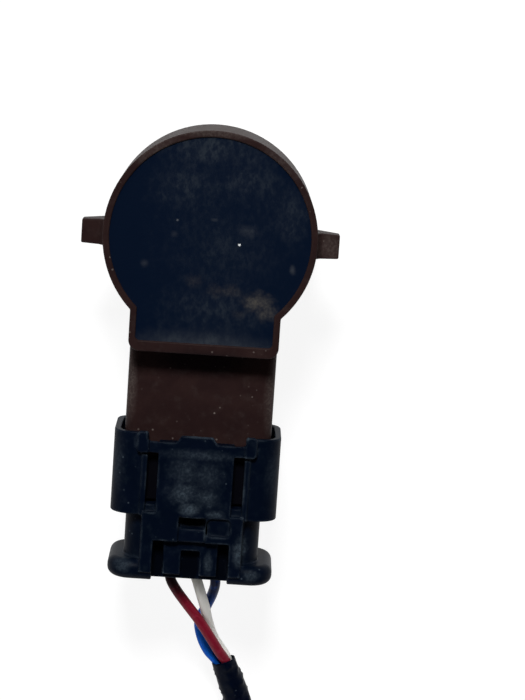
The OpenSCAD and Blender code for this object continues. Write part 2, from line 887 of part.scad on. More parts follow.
// Ribbed seal between a wire and its bore
module wire_seal(i) {
    rib_r = seal_bore_d / 2 - fit_gap;
    groove_r = rib_r - seal_groove;
    hole_r = wire_d / 2 + fit_gap;
    rib_len = wire_seal_len / (2 * seal_ribs - 1);
    color("#8a3b2a")
        translate([i * pin_pitch, -hood_at + rib_len + wire_seal_len, neck_z])
            rotate([90, 0, 0])
                rotate_extrude() {
                    translate([hole_r, 0])
                        square([groove_r - hole_r, wire_seal_len]);
                    for (rib = [0:seal_ribs - 1])
                        translate([hole_r, 2 * rib * rib_len])
                            square([rib_r - hole_r, rib_len]);
                }
}

function unit(v) = v / norm(v);

// Direction of a route at each of its points
function headings(route) = [
    for (i = [0:len(route) - 1])
        unit(route[min(i + 1, len(route) - 1)] - route[max(i - 1, 0)])
];

// Level side direction of a heading
function beside(heading) = unit(cross([0, 0, 1], heading));

// Ring of points round a place on a route
function ring(centre, heading, r, sides) = [
    for (k = [0:sides - 1])
        let (a = 360 * k / sides, side = beside(heading))
            centre + r * (cos(a) * side + sin(a) * cross(heading, side))
];

// Course of one wire through the sleeve, at its angle in the sleeve's section
function in_sleeve(angle) = [
    for (i = [0:len(sleeve_route) - 1])
        let (heading = headings(sleeve_route)[i], side = beside(heading))
            sleeve_route[i] + bundle_r * (cos(angle) * side + sin(angle) * cross(heading, side))
];

// Whole course of one wire, from its crimp to its stripped end
function wire_course(i, route, angle, tail) = concat(
    [[i * pin_pitch, -wire_at, neck_z], [i * pin_pitch, -hood_at, neck_z]], route, in_sleeve(angle), tail
);

// Wall of quads between rings, as triangles, with a step between the rings' first points
function wall_faces(rings, sides, first, flip) = [
    for (i = [0:rings - 2], k = [0:sides - 1], half = [0, 1])
        let (
            a = first + i * sides + k,
            b = first + i * sides + (k + 1) % sides,
            c = b + sides,
            d = a + sides,
            face = half == 0 ? [a, d, c] : [a, c, b]
        )
            flip ? [face[2], face[1], face[0]] : face
];

// Solid cord along a route
module cord(route, r, sides) {
    directions = headings(route);
    last = len(route) - 1;
    points = [for (i = [0:last]) each ring(route[i], directions[i], r, sides)];
    start_cap = [for (k = [0:sides - 1]) k];
    end_cap = [for (k = [sides - 1:-1:0]) last * sides + k];
    polyhedron(points, concat([start_cap], wall_faces(last + 1, sides, 0, false), [end_cap]));
}

// Hollow sleeve along a route
module tube(route, r, bore, sides) {
    directions = headings(route);
    last = len(route) - 1;
    inner = (last + 1) * sides;
    points = [
        for (radius = [r, bore], i = [0:last])
            each ring(route[i], directions[i], radius, sides)
    ];
    rims = [
        for (k = [0:sides - 1])
            let (n = (k + 1) % sides, far = last * sides)
                each [
                    [k, n, inner + n], [k, inner + n, inner + k],
                    [far + n, far + k, inner + far + k], [far + n, inner + far + k, inner + far + n]
                ]
    ];
    outer_wall = wall_faces(last + 1, sides, 0, false);
    inner_wall = wall_faces(last + 1, sides, inner, true);
    polyhedron(points, concat(outer_wall, inner_wall, rims));
}

// Bare copper end that carries on from a wire
module wire_tip(route) {
    last = route[len(route) - 1];
    heading = unit(last - route[len(route) - 2]);
    level_heading = unit([heading[0], heading[1], 0]);
    color("#b5683c")
        cord([last, last + core_len * level_heading], core_d / 2, wire_sides);
}

red_course = wire_course(-1, red_route, red_angle, red_tail);
white_course = wire_course(0, white_route, white_angle, white_tail);
blue_course = wire_course(1, blue_route, blue_angle, blue_tail);

module piezo_lead_left() piezo_lead(-1);
module piezo_lead_right() piezo_lead(1);
module contact_pin_left() contact_pin(-1);
module contact_pin_centre() contact_pin(0);
module contact_pin_right() contact_pin(1);
module terminal_red() terminal(-1);
module terminal_white() terminal(0);
module terminal_blue() terminal(1);
module wire_seal_red() wire_seal(-1);
module wire_seal_white() wire_seal(0);
module wire_seal_blue() wire_seal(1);

module red_wire() {
    color("#8c1f30")
        cord(red_course, wire_d / 2, wire_sides);
}

module white_wire() {
    color("#d8d6cc")
        cord(white_course, wire_d / 2, wire_sides);
}

module blue_wire() {
    color("#0f4fa8")
        cord(blue_course, wire_d / 2, wire_sides);
}

module harness_sleeve() {
    color("#15161a")
        tube(sleeve_route, sleeve_d / 2, sleeve_d / 2 - sleeve_wall, sleeve_sides);
}

module red_wire_tip() wire_tip(red_course);
module white_wire_tip() wire_tip(white_course);
module blue_wire_tip() wire_tip(blue_course);

sensor_housing();
potting_compound();
transducer_cup();
decoupling_ring();
piezo_disc();
absorber_pad();
cup_filler();
piezo_lead_left();
piezo_lead_right();
circuit_board();
driver_chip();
pulse_transformer();
storage_capacitor();
chip_parts();
contact_pin_left();
contact_pin_centre();
contact_pin_right();
plug_housing();
front_retainer();
socket_seal();
terminal_red();
terminal_white();
terminal_blue();
wire_seal_red();
wire_seal_white();
wire_seal_blue();
red_wire();
white_wire();
blue_wire();
harness_sleeve();
red_wire_tip();
white_wire_tip();
blue_wire_tip();
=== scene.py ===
"""Scene of an ultrasonic parking sensor with its mated plug and a short cut pigtail.

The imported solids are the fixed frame. This script dresses them: rounded copies of the mouldings, the cast
fill, the wires with their sleeve, and a procedural finish for every piece. Lengths are in metres
where a class doesn't say millimetres.
"""

import json
import logging
import math
import random
from dataclasses import dataclass, field, replace
from enum import Enum
from typing import Any

import bmesh
import bpy
from mathutils import Matrix, Vector, geometry, kdtree, noise

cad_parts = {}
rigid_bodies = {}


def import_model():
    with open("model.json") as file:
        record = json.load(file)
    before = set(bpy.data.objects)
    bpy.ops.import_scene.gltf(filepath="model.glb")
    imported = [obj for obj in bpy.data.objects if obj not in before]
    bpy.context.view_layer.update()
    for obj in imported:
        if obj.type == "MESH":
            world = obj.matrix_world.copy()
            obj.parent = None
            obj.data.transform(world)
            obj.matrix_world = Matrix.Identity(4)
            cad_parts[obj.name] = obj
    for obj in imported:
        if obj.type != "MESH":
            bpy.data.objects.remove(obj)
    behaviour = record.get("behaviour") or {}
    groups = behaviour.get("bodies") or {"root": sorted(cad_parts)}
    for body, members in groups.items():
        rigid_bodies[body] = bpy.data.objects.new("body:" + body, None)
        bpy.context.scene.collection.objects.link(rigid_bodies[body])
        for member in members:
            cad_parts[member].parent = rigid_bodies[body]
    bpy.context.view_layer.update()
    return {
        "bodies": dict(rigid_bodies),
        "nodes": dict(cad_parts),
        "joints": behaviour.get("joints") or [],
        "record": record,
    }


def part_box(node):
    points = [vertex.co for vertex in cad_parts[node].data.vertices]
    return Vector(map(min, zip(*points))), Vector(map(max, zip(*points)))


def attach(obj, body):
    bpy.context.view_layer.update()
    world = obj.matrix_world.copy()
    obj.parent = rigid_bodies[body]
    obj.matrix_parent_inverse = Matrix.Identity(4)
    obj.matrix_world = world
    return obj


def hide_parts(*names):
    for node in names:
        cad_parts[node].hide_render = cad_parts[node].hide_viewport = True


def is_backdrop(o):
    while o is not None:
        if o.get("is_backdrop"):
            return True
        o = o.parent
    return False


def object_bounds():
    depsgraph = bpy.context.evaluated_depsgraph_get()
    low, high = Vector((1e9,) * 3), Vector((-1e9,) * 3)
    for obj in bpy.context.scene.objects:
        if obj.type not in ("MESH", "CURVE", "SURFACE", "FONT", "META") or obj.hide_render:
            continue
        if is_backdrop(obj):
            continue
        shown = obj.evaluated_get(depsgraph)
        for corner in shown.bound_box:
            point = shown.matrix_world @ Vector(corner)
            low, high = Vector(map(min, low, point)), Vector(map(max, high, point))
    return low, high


LOG = logging.getLogger("parking_sensor")
MM = 0.001
BODY = "root"
UP = Vector((0.0, 0.0, 1.0))
# Points of a solid that are one, faces that are one, and edges that a mould rounds
WELD_GAP = 0.002 * MM
FLAT_ANGLE = math.radians(0.5)
EDGE_ANGLE = math.radians(32.0)
EDGE_STEPS = 3
# Places of the Mix node's colour sockets
MIX_FACTOR, MIX_A, MIX_B, MIX_RESULT = 0, 6, 7, 2
# Short names for types: a place, a blister's distance, angle and width, and what Blender makes
Place = tuple[float, float, float]
Spot = tuple[float, float, float]
Tree = bpy.types.NodeTree
Socket = bpy.types.NodeSocket
Thing = bpy.types.Object
Ring = list[bmesh.types.BMVert]


def srgb(code: str) -> tuple[float, float, float, float]:
    """Turn an sRGB colour to linear, by the standard's own curve.

    Args:
        code: Hex code of the colour.

    Returns:
        Linear RGBA.
    """
    channels = [int(code[i:i + 2], 16) / 255 for i in (1, 3, 5)]
    linear = [c / 12.92 if c <= 0.04045 else ((c + 0.055) / 1.055) ** 2.4 for c in channels]
    return (*linear, 1.0)


def add_node(tree: Tree, kind: str, settings: dict[str, Any] | None = None,
             inputs: dict[str | int, Any] | None = None) -> bpy.types.Node:
    """Add one node to a tree.

    Args:
        tree: Shader or geometry tree to add to.
        kind: Type name of the node.
        settings: Properties of the node by name.
        inputs: Values, or output sockets to link, by the input's name or index.

    Returns:
        The new node.
    """
    node = tree.nodes.new(kind)
    for name, value in (settings or {}).items():
        setattr(node, name, value)
    for key, value in (inputs or {}).items():
        socket = node.inputs[key]
        if isinstance(value, bpy.types.NodeSocket):
            tree.links.new(value, socket)
        else:
            socket.default_value = value
    return node


class Blend(Enum):
    """How masks are joined: where all of them hold, the strongest of them, or their sum."""

    ALL = "MULTIPLY"
    STRONGEST = "MAXIMUM"
    SUM = "ADD"


@dataclass(frozen=True)
class Cloud:
    """Noise in soft patches.

    Attributes:
        size: Typical width of a patch.
        low: Noise level at which a patch begins.
        high: Noise level at which it is full.
        seed: Slice of the noise.
        detail: Octaves of finer noise.
        octave: Strength of each octave against the one before it.
    """

    size: float
    low: float
    high: float
    seed: float = 0.0
    detail: float = 4.0
    octave: float = 0.6


@dataclass(frozen=True)
class Mark:
    """One mark of dirt on the back of the part, seen along the sensing axis.

    Attributes:
        x: Place across the part, in millimetres.
        y: Place along the part, in millimetres.
        width: Width of the mark across, in millimetres.
        length: Length of the mark along, in millimetres.
        share: Share of dirt in its middle.
        torn: How far its outline is torn, in half widths.
        core: Share of its half width that is full, below zero where the middle is thin too.
    """

    x: float
    y: float
    width: float
    length: float
    share: float
    torn: float = 0.0
    core: float = 0.2


@dataclass(frozen=True)
class Canvas:
    """Shader tree of one material, with the drawing that its finish needs.

    Attributes:
        tree: The material's tree.
        shader: Its Principled shader.
        coords: Object coordinates, in metres.
        tear_size: Width of the notches in a torn outline.
        tear_detail: Octaves of finer notches.
        speck_core: Share of a speck's width that is full.
        feelers: Rays that feel for corners and edges at a point.
        grain_detail: Octaves of finer grain.
    """

    tree: Tree
    shader: bpy.types.Node
    coords: Socket
    tear_size: float = 0.8 * MM
    tear_detail: float = 8.0
    speck_core: float = 0.4
    feelers: int = 8
    grain_detail: float = 2.0

    def join(self, blend: Blend, first: Any, *others: Any) -> Any:
        """Join masks of the material into one that stays between 0 and 1.

        Args:
            blend: How they are joined.
            first: First mask, a socket or a plain share.
            others: Masks that are joined to it in turn.

        Returns:
            Socket of the joint mask, or the first mask where it is alone.
        """
        total = first
        for mask in others:
            step = add_node(self.tree, "ShaderNodeMath", {"operation": blend.value, "use_clamp": True}, {
                0: total, 1: mask})
            total = step.outputs["Value"]
        return total

    def patches(self, cloud: Cloud, coords: Socket | None = None) -> Socket:
        """Draw soft patches of noise.

        Args:
            cloud: The noise.
            coords: Coordinates to use in place of the object's.

        Returns:
            Socket that runs from 0 outside the patches to 1 inside them.
        """
        texture = add_node(self.tree, "ShaderNodeTexNoise", {"noise_dimensions": "4D"}, {
            "Vector": self.coords if coords is None else coords, "W": cloud.seed, "Scale": 1 / cloud.size,
            "Detail": cloud.detail, "Roughness": cloud.octave})
        ramp = add_node(self.tree, "ShaderNodeMapRange", {"interpolation_type": "SMOOTHSTEP"}, {
            "Value": texture.outputs[0], "From Min": cloud.low, "From Max": cloud.high})
        return ramp.outputs["Result"]

    def specks(self, spacing: float, width: float) -> Socket:
        """Draw small separate specks.

        Args:
            spacing: Mean distance between specks.
            width: Width of a speck.

        Returns:
            Socket that is 1 on a speck and 0 elsewhere.
        """
        cells = add_node(self.tree, "ShaderNodeTexVoronoi", inputs={
            "Vector": self.coords, "Scale": 1 / spacing})
        ramp = add_node(self.tree, "ShaderNodeMapRange", {"interpolation_type": "SMOOTHSTEP"}, {
            "Value": cells.outputs["Distance"], "From Min": width / spacing,
            "From Max": self.speck_core * width / spacing})
        return ramp.outputs["Result"]

    def marked(self, marks: tuple[Mark, ...]) -> Any:
        """Draw marks with soft or torn outlines.

        Args:
            marks: The marks.

        Returns:
            Socket with the strongest mark at each point, or zero without marks.
        """
        if not marks:
            return 0.0
        tear = add_node(self.tree, "ShaderNodeTexNoise", inputs={
            "Vector": self.coords, "Scale": 1 / self.tear_size, "Detail": self.tear_detail})
        spots = []
        for mark in marks:
            local = add_node(self.tree, "ShaderNodeMapping", {"vector_type": "TEXTURE"}, {
                "Vector": self.coords, "Location": (mark.x * MM, mark.y * MM, 0.0),
                "Scale": (mark.width / 2 * MM, mark.length / 2 * MM, 1.0)})
            far = add_node(self.tree, "ShaderNodeVectorMath", {"operation": "LENGTH"}, {
                0: local.outputs["Vector"]})
            edge = add_node(self.tree, "ShaderNodeMath", {"operation": "MULTIPLY_ADD"}, {
                0: tear.outputs[0], 1: 2 * mark.torn, 2: far.outputs["Value"]})
            spot = add_node(self.tree, "ShaderNodeMapRange", {"interpolation_type": "SMOOTHSTEP"}, {
                "Value": edge.outputs["Value"], "From Min": 1 + mark.torn, "From Max": mark.core + mark.torn,
                "To Max": mark.share})
            spots.append(spot.outputs["Result"])
        return self.join(Blend.STRONGEST, 0.0, *spots)

    def shut(self, reach: float, levels: tuple[float, float], inside: bool) -> Socket:
        """Feel for inner corners, or from inside the skin for outer edges.

        Args:
            reach: How far to feel.
            levels: Openness at which the mask begins and is full.
            inside: True to feel for outer edges.

        Returns:
            Socket that is 1 in a corner or at an edge and 0 on an open face.
        """
        probe = add_node(self.tree, "ShaderNodeAmbientOcclusion", {
            "samples": self.feelers, "only_local": True, "inside": inside}, {"Distance": reach})
        ramp = add_node(self.tree, "ShaderNodeMapRange", inputs={
            "Value": probe.outputs["AO"], "From Min": levels[0], "From Max": levels[1]})
        return ramp.outputs["Result"]

    def paint(self, base: str, *layers: tuple[Any, str]) -> None:
        """Lay colours over the base colour, each through its mask.

        Args:
            base: The base colour.
            layers: Mask and colour of each layer, from the lowest up.
        """
        colour: Any = srgb(base)
        for mask, tone in layers:
            mix = add_node(self.tree, "ShaderNodeMix", {"data_type": "RGBA"}, {
                MIX_FACTOR: mask, MIX_A: colour, MIX_B: srgb(tone)})
            colour = mix.outputs[MIX_RESULT]
        self.tree.links.new(colour, self.shader.inputs["Base Color"])

    def dull(self, dirt: Socket, full: float, clean: float, dirty: float) -> None:
        """Make the surface rougher where dirt lies.

        Args:
            dirt: Mask of the dirt.
            full: Share of dirt from which the surface gets no duller.
            clean: Roughness of the clean surface.
            dirty: Roughness under that much dirt.
        """
        ramp = add_node(self.tree, "ShaderNodeMapRange", inputs={
            "Value": dirt, "From Max": full, "To Min": clean, "To Max": dirty})
        self.tree.links.new(ramp.outputs["Result"], self.shader.inputs["Roughness"])

    def grain(self, size: float, depth: float) -> None:
        """Raise a fine grain on the surface.

        Args:
            size: Width of one grain.
            depth: Height of the grain.
        """
        bumps = add_node(self.tree, "ShaderNodeTexNoise", inputs={
            "Vector": self.coords, "Scale": 1 / size, "Detail": self.grain_detail})
        bump = add_node(self.tree, "ShaderNodeBump", inputs={
            "Height": bumps.outputs[0], "Strength": 1.0, "Distance": depth})
        self.tree.links.new(bump.outputs["Normal"], self.shader.inputs["Normal"])


@dataclass(frozen=True)
class Finish:
    """A finish that makes its material once.

    Attributes:
        name: Name of the material, after what it really is.
        slot: Slot of the record that pieces of this finish take.
        base: Main colour.
        roughness: Roughness of the clean surface.
        specular: Strength of the reflection at normal view, 0.5 for plain plastic.
        metallic: 1 for bare metal.
        grain_size: Width of the surface's grain.
        grain_depth: Height of that grain.
    """

    name: str
    slot: str
    base: str
    roughness: float = 0.5
    specular: float = 0.5
    metallic: float = 0.0
    grain_size: float = 0.15 * MM
    grain_depth: float = 0.01 * MM

    def material(self) -> bpy.types.Material:
        """Give the finish's material, made on first use.

        Returns:
            The material.
        """
        made = bpy.data.materials.get(self.name)
        if made is None:
            made = bpy.data.materials.new(self.name)
            made.use_nodes = True
            tree = made.node_tree
            shader = tree.nodes["Principled BSDF"]
            shader.inputs["Base Color"].default_value = srgb(self.base)
            shader.inputs["Roughness"].default_value = self.roughness
            shader.inputs["Specular IOR Level"].default_value = self.specular
            shader.inputs["Metallic"].default_value = self.metallic
            canvas = Canvas(tree, shader, add_node(tree, "ShaderNodeTexCoord").outputs["Object"])
            self.draw(canvas)
            canvas.grain(self.grain_size, self.grain_depth)
        return made

    def draw(self, canvas: Canvas) -> None:
        """Draw the finish's own pattern on a material's canvas."""
        raise NotImplementedError


@dataclass(frozen=True)
class PlainFinish(Finish):
    """Even material with a second tone in soft patches and a fine grain.

    Attributes:
        second: Colour of the patches.
        tone: The patches.
    """

    second: str = "#808080"
    tone: Cloud = Cloud(0.8 * MM, 0.4, 0.65)

    def draw(self, canvas: Canvas) -> None:
        """Mix the two tones on the canvas."""
        canvas.paint(self.base, (canvas.patches(self.tone), self.second))


# Thin dust in patches, which a moulding may set to its own size
HAZE = Cloud(1.6 * MM, 0.48, 0.8, seed=3.0, detail=6.0)


@dataclass(frozen=True)
class DustyMoulding(Finish):
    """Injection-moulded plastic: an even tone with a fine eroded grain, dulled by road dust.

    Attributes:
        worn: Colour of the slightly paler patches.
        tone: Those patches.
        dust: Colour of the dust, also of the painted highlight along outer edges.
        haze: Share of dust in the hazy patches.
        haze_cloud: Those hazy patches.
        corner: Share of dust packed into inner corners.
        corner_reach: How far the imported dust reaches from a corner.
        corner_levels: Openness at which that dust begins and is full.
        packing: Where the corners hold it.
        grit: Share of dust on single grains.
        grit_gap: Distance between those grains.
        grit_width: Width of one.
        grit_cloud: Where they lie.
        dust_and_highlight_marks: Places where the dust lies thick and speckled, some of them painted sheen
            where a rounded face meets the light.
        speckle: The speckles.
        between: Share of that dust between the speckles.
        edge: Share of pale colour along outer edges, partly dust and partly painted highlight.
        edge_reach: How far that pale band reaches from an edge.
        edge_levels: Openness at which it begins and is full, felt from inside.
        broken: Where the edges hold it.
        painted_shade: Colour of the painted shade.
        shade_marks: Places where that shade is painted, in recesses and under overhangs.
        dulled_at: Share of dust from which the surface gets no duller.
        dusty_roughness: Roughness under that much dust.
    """

    # The real grain is about 0.05 mm, drawn coarser so that it shows
    grain_size: float = 0.25 * MM
    grain_depth: float = 0.012 * MM
    worn: str = "#303030"
    tone: Cloud = Cloud(3 * MM, 0.35, 0.7)
    dust: str = "#6a665f"
    haze: float = 0.2
    haze_cloud: Cloud = HAZE
    corner: float = 0.3
    corner_reach: float = 0.8 * MM
    corner_levels: tuple[float, float] = (0.85, 0.35)
    packing: Cloud = Cloud(0.9 * MM, 0.35, 0.7, seed=7.0)
    grit: float = 0.6
    grit_gap: float = 1.1 * MM
    grit_width: float = 0.16 * MM
    grit_cloud: Cloud = Cloud(4 * MM, 0.42, 0.62, seed=11.0, detail=2.0)
    dust_and_highlight_marks: tuple[Mark, ...] = ()
    speckle: Cloud = Cloud(0.3 * MM, 0.4, 0.74, seed=13.0, detail=9.0)
    between: float = 0.42
    edge: float = 0.1
    edge_reach: float = 0.35 * MM
    edge_levels: tuple[float, float] = (0.9, 0.55)
    broken: Cloud = Cloud(1.8 * MM, 0.36, 0.68, seed=17.0, detail=5.0)
    painted_shade: str = "#02040a"
    shade_marks: tuple[Mark, ...] = ()
    dulled_at: float = 0.5
    dusty_roughness: float = 0.85

    def draw(self, canvas: Canvas) -> None:
        """Lay patches, haze, packed dust, grains, thick dust, dust with painted highlight along the edges,
        and painted shade over the base colour.

        Args:
            canvas: Canvas of the material.
        """
        film = canvas.join(Blend.ALL, canvas.patches(self.haze_cloud), self.haze)
        nooks = canvas.shut(self.corner_reach, self.corner_levels, inside=False)
        packed = canvas.join(Blend.ALL, nooks, canvas.patches(self.packing), self.corner)
        specks = canvas.specks(self.grit_gap, self.grit_width)
        grains = canvas.join(Blend.ALL, specks, canvas.patches(self.grit_cloud), self.grit)
        speckled = canvas.join(Blend.SUM, canvas.patches(self.speckle), self.between)
        thick = canvas.join(Blend.ALL, canvas.marked(self.dust_and_highlight_marks), speckled)
        # Pale band along outer edges: partly dust, partly painted highlight where the rounded edges meet the
        # light
        brinks = canvas.shut(self.edge_reach, self.edge_levels, inside=True)
        rubbed = canvas.join(Blend.ALL, brinks, canvas.patches(self.broken), self.edge)
        dust_and_highlight = canvas.join(Blend.STRONGEST, film, packed, grains, thick, rubbed)
        # The last layer is painted shade in recesses and under overhangs
        canvas.paint(self.base, (canvas.patches(self.tone), self.worn), (dust_and_highlight, self.dust),
                     (canvas.marked(self.shade_marks), self.painted_shade))
        canvas.dull(dust_and_highlight, self.dulled_at, self.roughness, self.dusty_roughness)


@dataclass(frozen=True)
class CastResin(Finish):
    """Poured polyurethane: smooth and blue-black, with a film of wiped dust and a few stuck marks.

    Attributes:
        film_tone: Colour of the dust film.
        soil_tone: Colour of dried mud.
        chalk_tone: Colour of the brightest speck.
        film: Share of dust where the film is thickest.
        clouds: Where the film is thick.
        streaks: The wiped streaks in it.
        wipe_turn: Direction of those streaks, in degrees.
        wipe_stretch: Their squeeze along the wipe.
        between: Share of the film between the streaks.
        crumbs: Grains of the mud.
        mud_between: Share of mud between those grains.
        hazes: Where the film lies.
        soils: Marks of mud.
        chalks: Pale marks.
        dulled_at: Share of dirt from which the surface gets no duller.
        dusty_roughness: Roughness under that much dirt.
    """

    grain_size: float = 0.5 * MM
    film_tone: str = "#616a6c"
    soil_tone: str = "#6e675a"
    chalk_tone: str = "#d8dcdc"
    film: float = 0.3
    clouds: Cloud = Cloud(3.0 * MM, 0.12, 0.75, seed=5.4, detail=5.0)
    streaks: Cloud = Cloud(0.5 * MM, 0.38, 0.72, seed=2.0, detail=8.0)
    wipe_turn: float = -25.0
    wipe_stretch: float = 0.6
    between: float = 0.25
    crumbs: Cloud = Cloud(0.4 * MM, 0.3, 0.75, seed=9.0, detail=6.0)
    mud_between: float = 0.35
    hazes: tuple[Mark, ...] = ()
    soils: tuple[Mark, ...] = ()
    chalks: tuple[Mark, ...] = ()
    dulled_at: float = 0.4
    dusty_roughness: float = 0.8

    def draw(self, canvas: Canvas) -> None:
        """Lay the dust film, the mud and the pale marks over the resin.

        Args:
            canvas: Canvas of the material.
        """
        wipe = add_node(canvas.tree, "ShaderNodeMapping", inputs={
            "Vector": canvas.coords, "Rotation": (0.0, 0.0, math.radians(self.wipe_turn)),
            "Scale": (1.0, self.wipe_stretch, 1.0)})
        wiped = canvas.join(Blend.SUM, canvas.patches(self.streaks, wipe.outputs["Vector"]), self.between)
        laid = canvas.marked(self.hazes)
        film = canvas.join(Blend.ALL, canvas.patches(self.clouds), wiped, laid, self.film)
        crumbly = canvas.join(Blend.SUM, canvas.patches(self.crumbs), self.mud_between)
        soiled = canvas.join(Blend.ALL, canvas.marked(self.soils), crumbly)
        canvas.paint(self.base, (film, self.film_tone), (soiled, self.soil_tone),
                     (canvas.marked(self.chalks), self.chalk_tone))
        dirt = canvas.join(Blend.STRONGEST, film, soiled)
        canvas.dull(dirt, self.dulled_at, self.roughness, self.dusty_roughness)


@dataclass(frozen=True)
class WireInsulation(Finish):
    """Extruded thin-wall PVC: a smooth satin skin, with painted shade near the plug, and rubbed along its
    length.

    Attributes:
        painted_shade: Colour of the painted shade by the plug.
        shade_reach: How far along the wire that shade reaches.
        shade_full: Share of that reach over which it is full.
        shade_cloud: Patches that break it up.
        shade_cloud: Where it sticks.
        rubbed: Colour of the rubbed streaks.
        rub: Share of that colour in a streak.
        rub_cloud: The streaks.
    """

    grain_size: float = 0.3 * MM
    grain_depth: float = 0.006 * MM
    painted_shade: str = "#30201f"
    shade_reach: float = 8 * MM
    shade_full: float = 0.5
    shade_cloud: Cloud = Cloud(1.2 * MM, 0.1, 0.5)
    rubbed: str = "#b06070"
    rub: float = 0.35
    rub_cloud: Cloud = Cloud(0.9 * MM, 0.5, 0.75, seed=4.0)

    def draw(self, canvas: Canvas) -> None:
        """Paint shade on the wire towards the plug and rub it in streaks.

        Args:
            canvas: Canvas of the material.
        """
        along = add_node(canvas.tree, "ShaderNodeAttribute", {"attribute_name": "along"}).outputs["Fac"]
        near = add_node(canvas.tree, "ShaderNodeMapRange", {"interpolation_type": "SMOOTHSTEP"}, {
            "Value": along, "From Min": self.shade_reach, "From Max": self.shade_full * self.shade_reach})
        # Painted shade, full where the wire leaves the plug
        dirty = canvas.join(Blend.ALL, near.outputs["Result"], canvas.patches(self.shade_cloud))
        rubbed = canvas.join(Blend.ALL, canvas.patches(self.rub_cloud), self.rub)
        canvas.paint(self.base, (rubbed, self.rubbed), (dirty, self.painted_shade))


# Glass-filled PBT from a spark-eroded mould: a dull brown skin whose fine grain holds road dust
HOUSING = DustyMoulding(
    "PBT_moulded_brown", "housing_plastic", "#241717", 0.45, 0.035, worn="#2a1c1b", dust="#8a807a", haze=0.05,
    corner=0.12, grit=0.5, edge=0.06,
    # Paler dust on the neck's sides, the right ear and the top of the rim, partly painted highlight where
    # those rounded faces meet the light
    dust_and_highlight_marks=(Mark(-8.6, -19.2, 2.4, 11.0, 0.18, 0.2), Mark(8.6, -19.6, 2.4, 11.0, 0.15, 0.2),
            Mark(14.4, -0.4, 4.0, 5.0, 0.14, 0.3), Mark(0.0, 12.6, 18.0, 2.0, 0.14, 0.3),
            Mark(-7.2, 10.2, 9.0, 6.0, 0.12, 0.3), Mark(7.8, 9.6, 8.0, 6.6, 0.1, 0.3)),
    # Painted shade: a dark band under the tongue's lip, and the neck darkened where it shows through the
    # plug's windows
    shade_marks=(Mark(0.0, -15.2, 16.6, 5.0, 0.6, 0.1, 0.3), Mark(0.0, -31.5, 26.0, 10.0, 0.95, 0.0, 0.85)))
# Polyamide from a smoother mould: blue-black satin, paler along its edges under dust and painted highlight,
# dusty on the latch, with painted sheen on the collar and painted shade at its rear
PLUG = DustyMoulding(
    "PA66_moulded_black", "plug_plastic", "#020917", 0.42, 0.03, worn="#040b1a", dust="#5f6d78", haze=0.04,
    haze_cloud=replace(HAZE, size=1.1 * MM), corner=0.25, grit=0.3, edge=0.4, edge_reach=0.36 * MM,
    dust_and_highlight_marks=(Mark(-1.2, -28.8, 6.2, 5.8, 0.24, 0.45, -0.3), Mark(1.6, -29.2, 5.6, 6.0, 0.2, 0.45, -0.3),
            Mark(-1.3, -31.5, 5.8, 4.4, 0.36, 0.45, -0.3), Mark(1.4, -31.9, 5.2, 4.2, 0.3, 0.45, -0.3),
            Mark(-0.5, -33.4, 3.6, 2.2, 0.4, 0.2, 0.0), Mark(2.8, -33.9, 3.4, 1.6, 0.46, 0.5, -0.4),
            # The mark along the bar's top edge and the two on the collar's lobes are painted sheen in the
            # dust's colour
            Mark(5.6, -31.2, 1.4, 5.4, 0.4, 0.5), Mark(0.4, -26.7, 13.5, 2.0, 0.24, 0.3, -0.3),
            Mark(-9.6, -28.4, 2.6, 10.0, 0.16, 0.5, -0.3), Mark(9.4, -28.8, 2.8, 9.0, 0.12, 0.5, -0.3),
            Mark(6.0, -38.4, 2.4, 5.0, 0.3, 0.5), Mark(-8.2, -41.0, 3.0, 2.2, 0.2, 0.5),
            Mark(2.2, -40.4, 1.6, 4.0, 0.2, 0.4), Mark(7.6, -41.4, 3.0, 2.0, 0.2, 0.5)),
    # Painted shade in the gaps round the wire exits at the plug's rear
    shade_marks=(Mark(-4.0, -40.6, 1.7, 7.0, 0.9, 0.0, 0.7), Mark(4.0, -40.6, 1.7, 7.0, 0.9, 0.0, 0.7),
             Mark(0.0, -41.2, 2.6, 5.0, 0.9, 0.0, 0.7)))
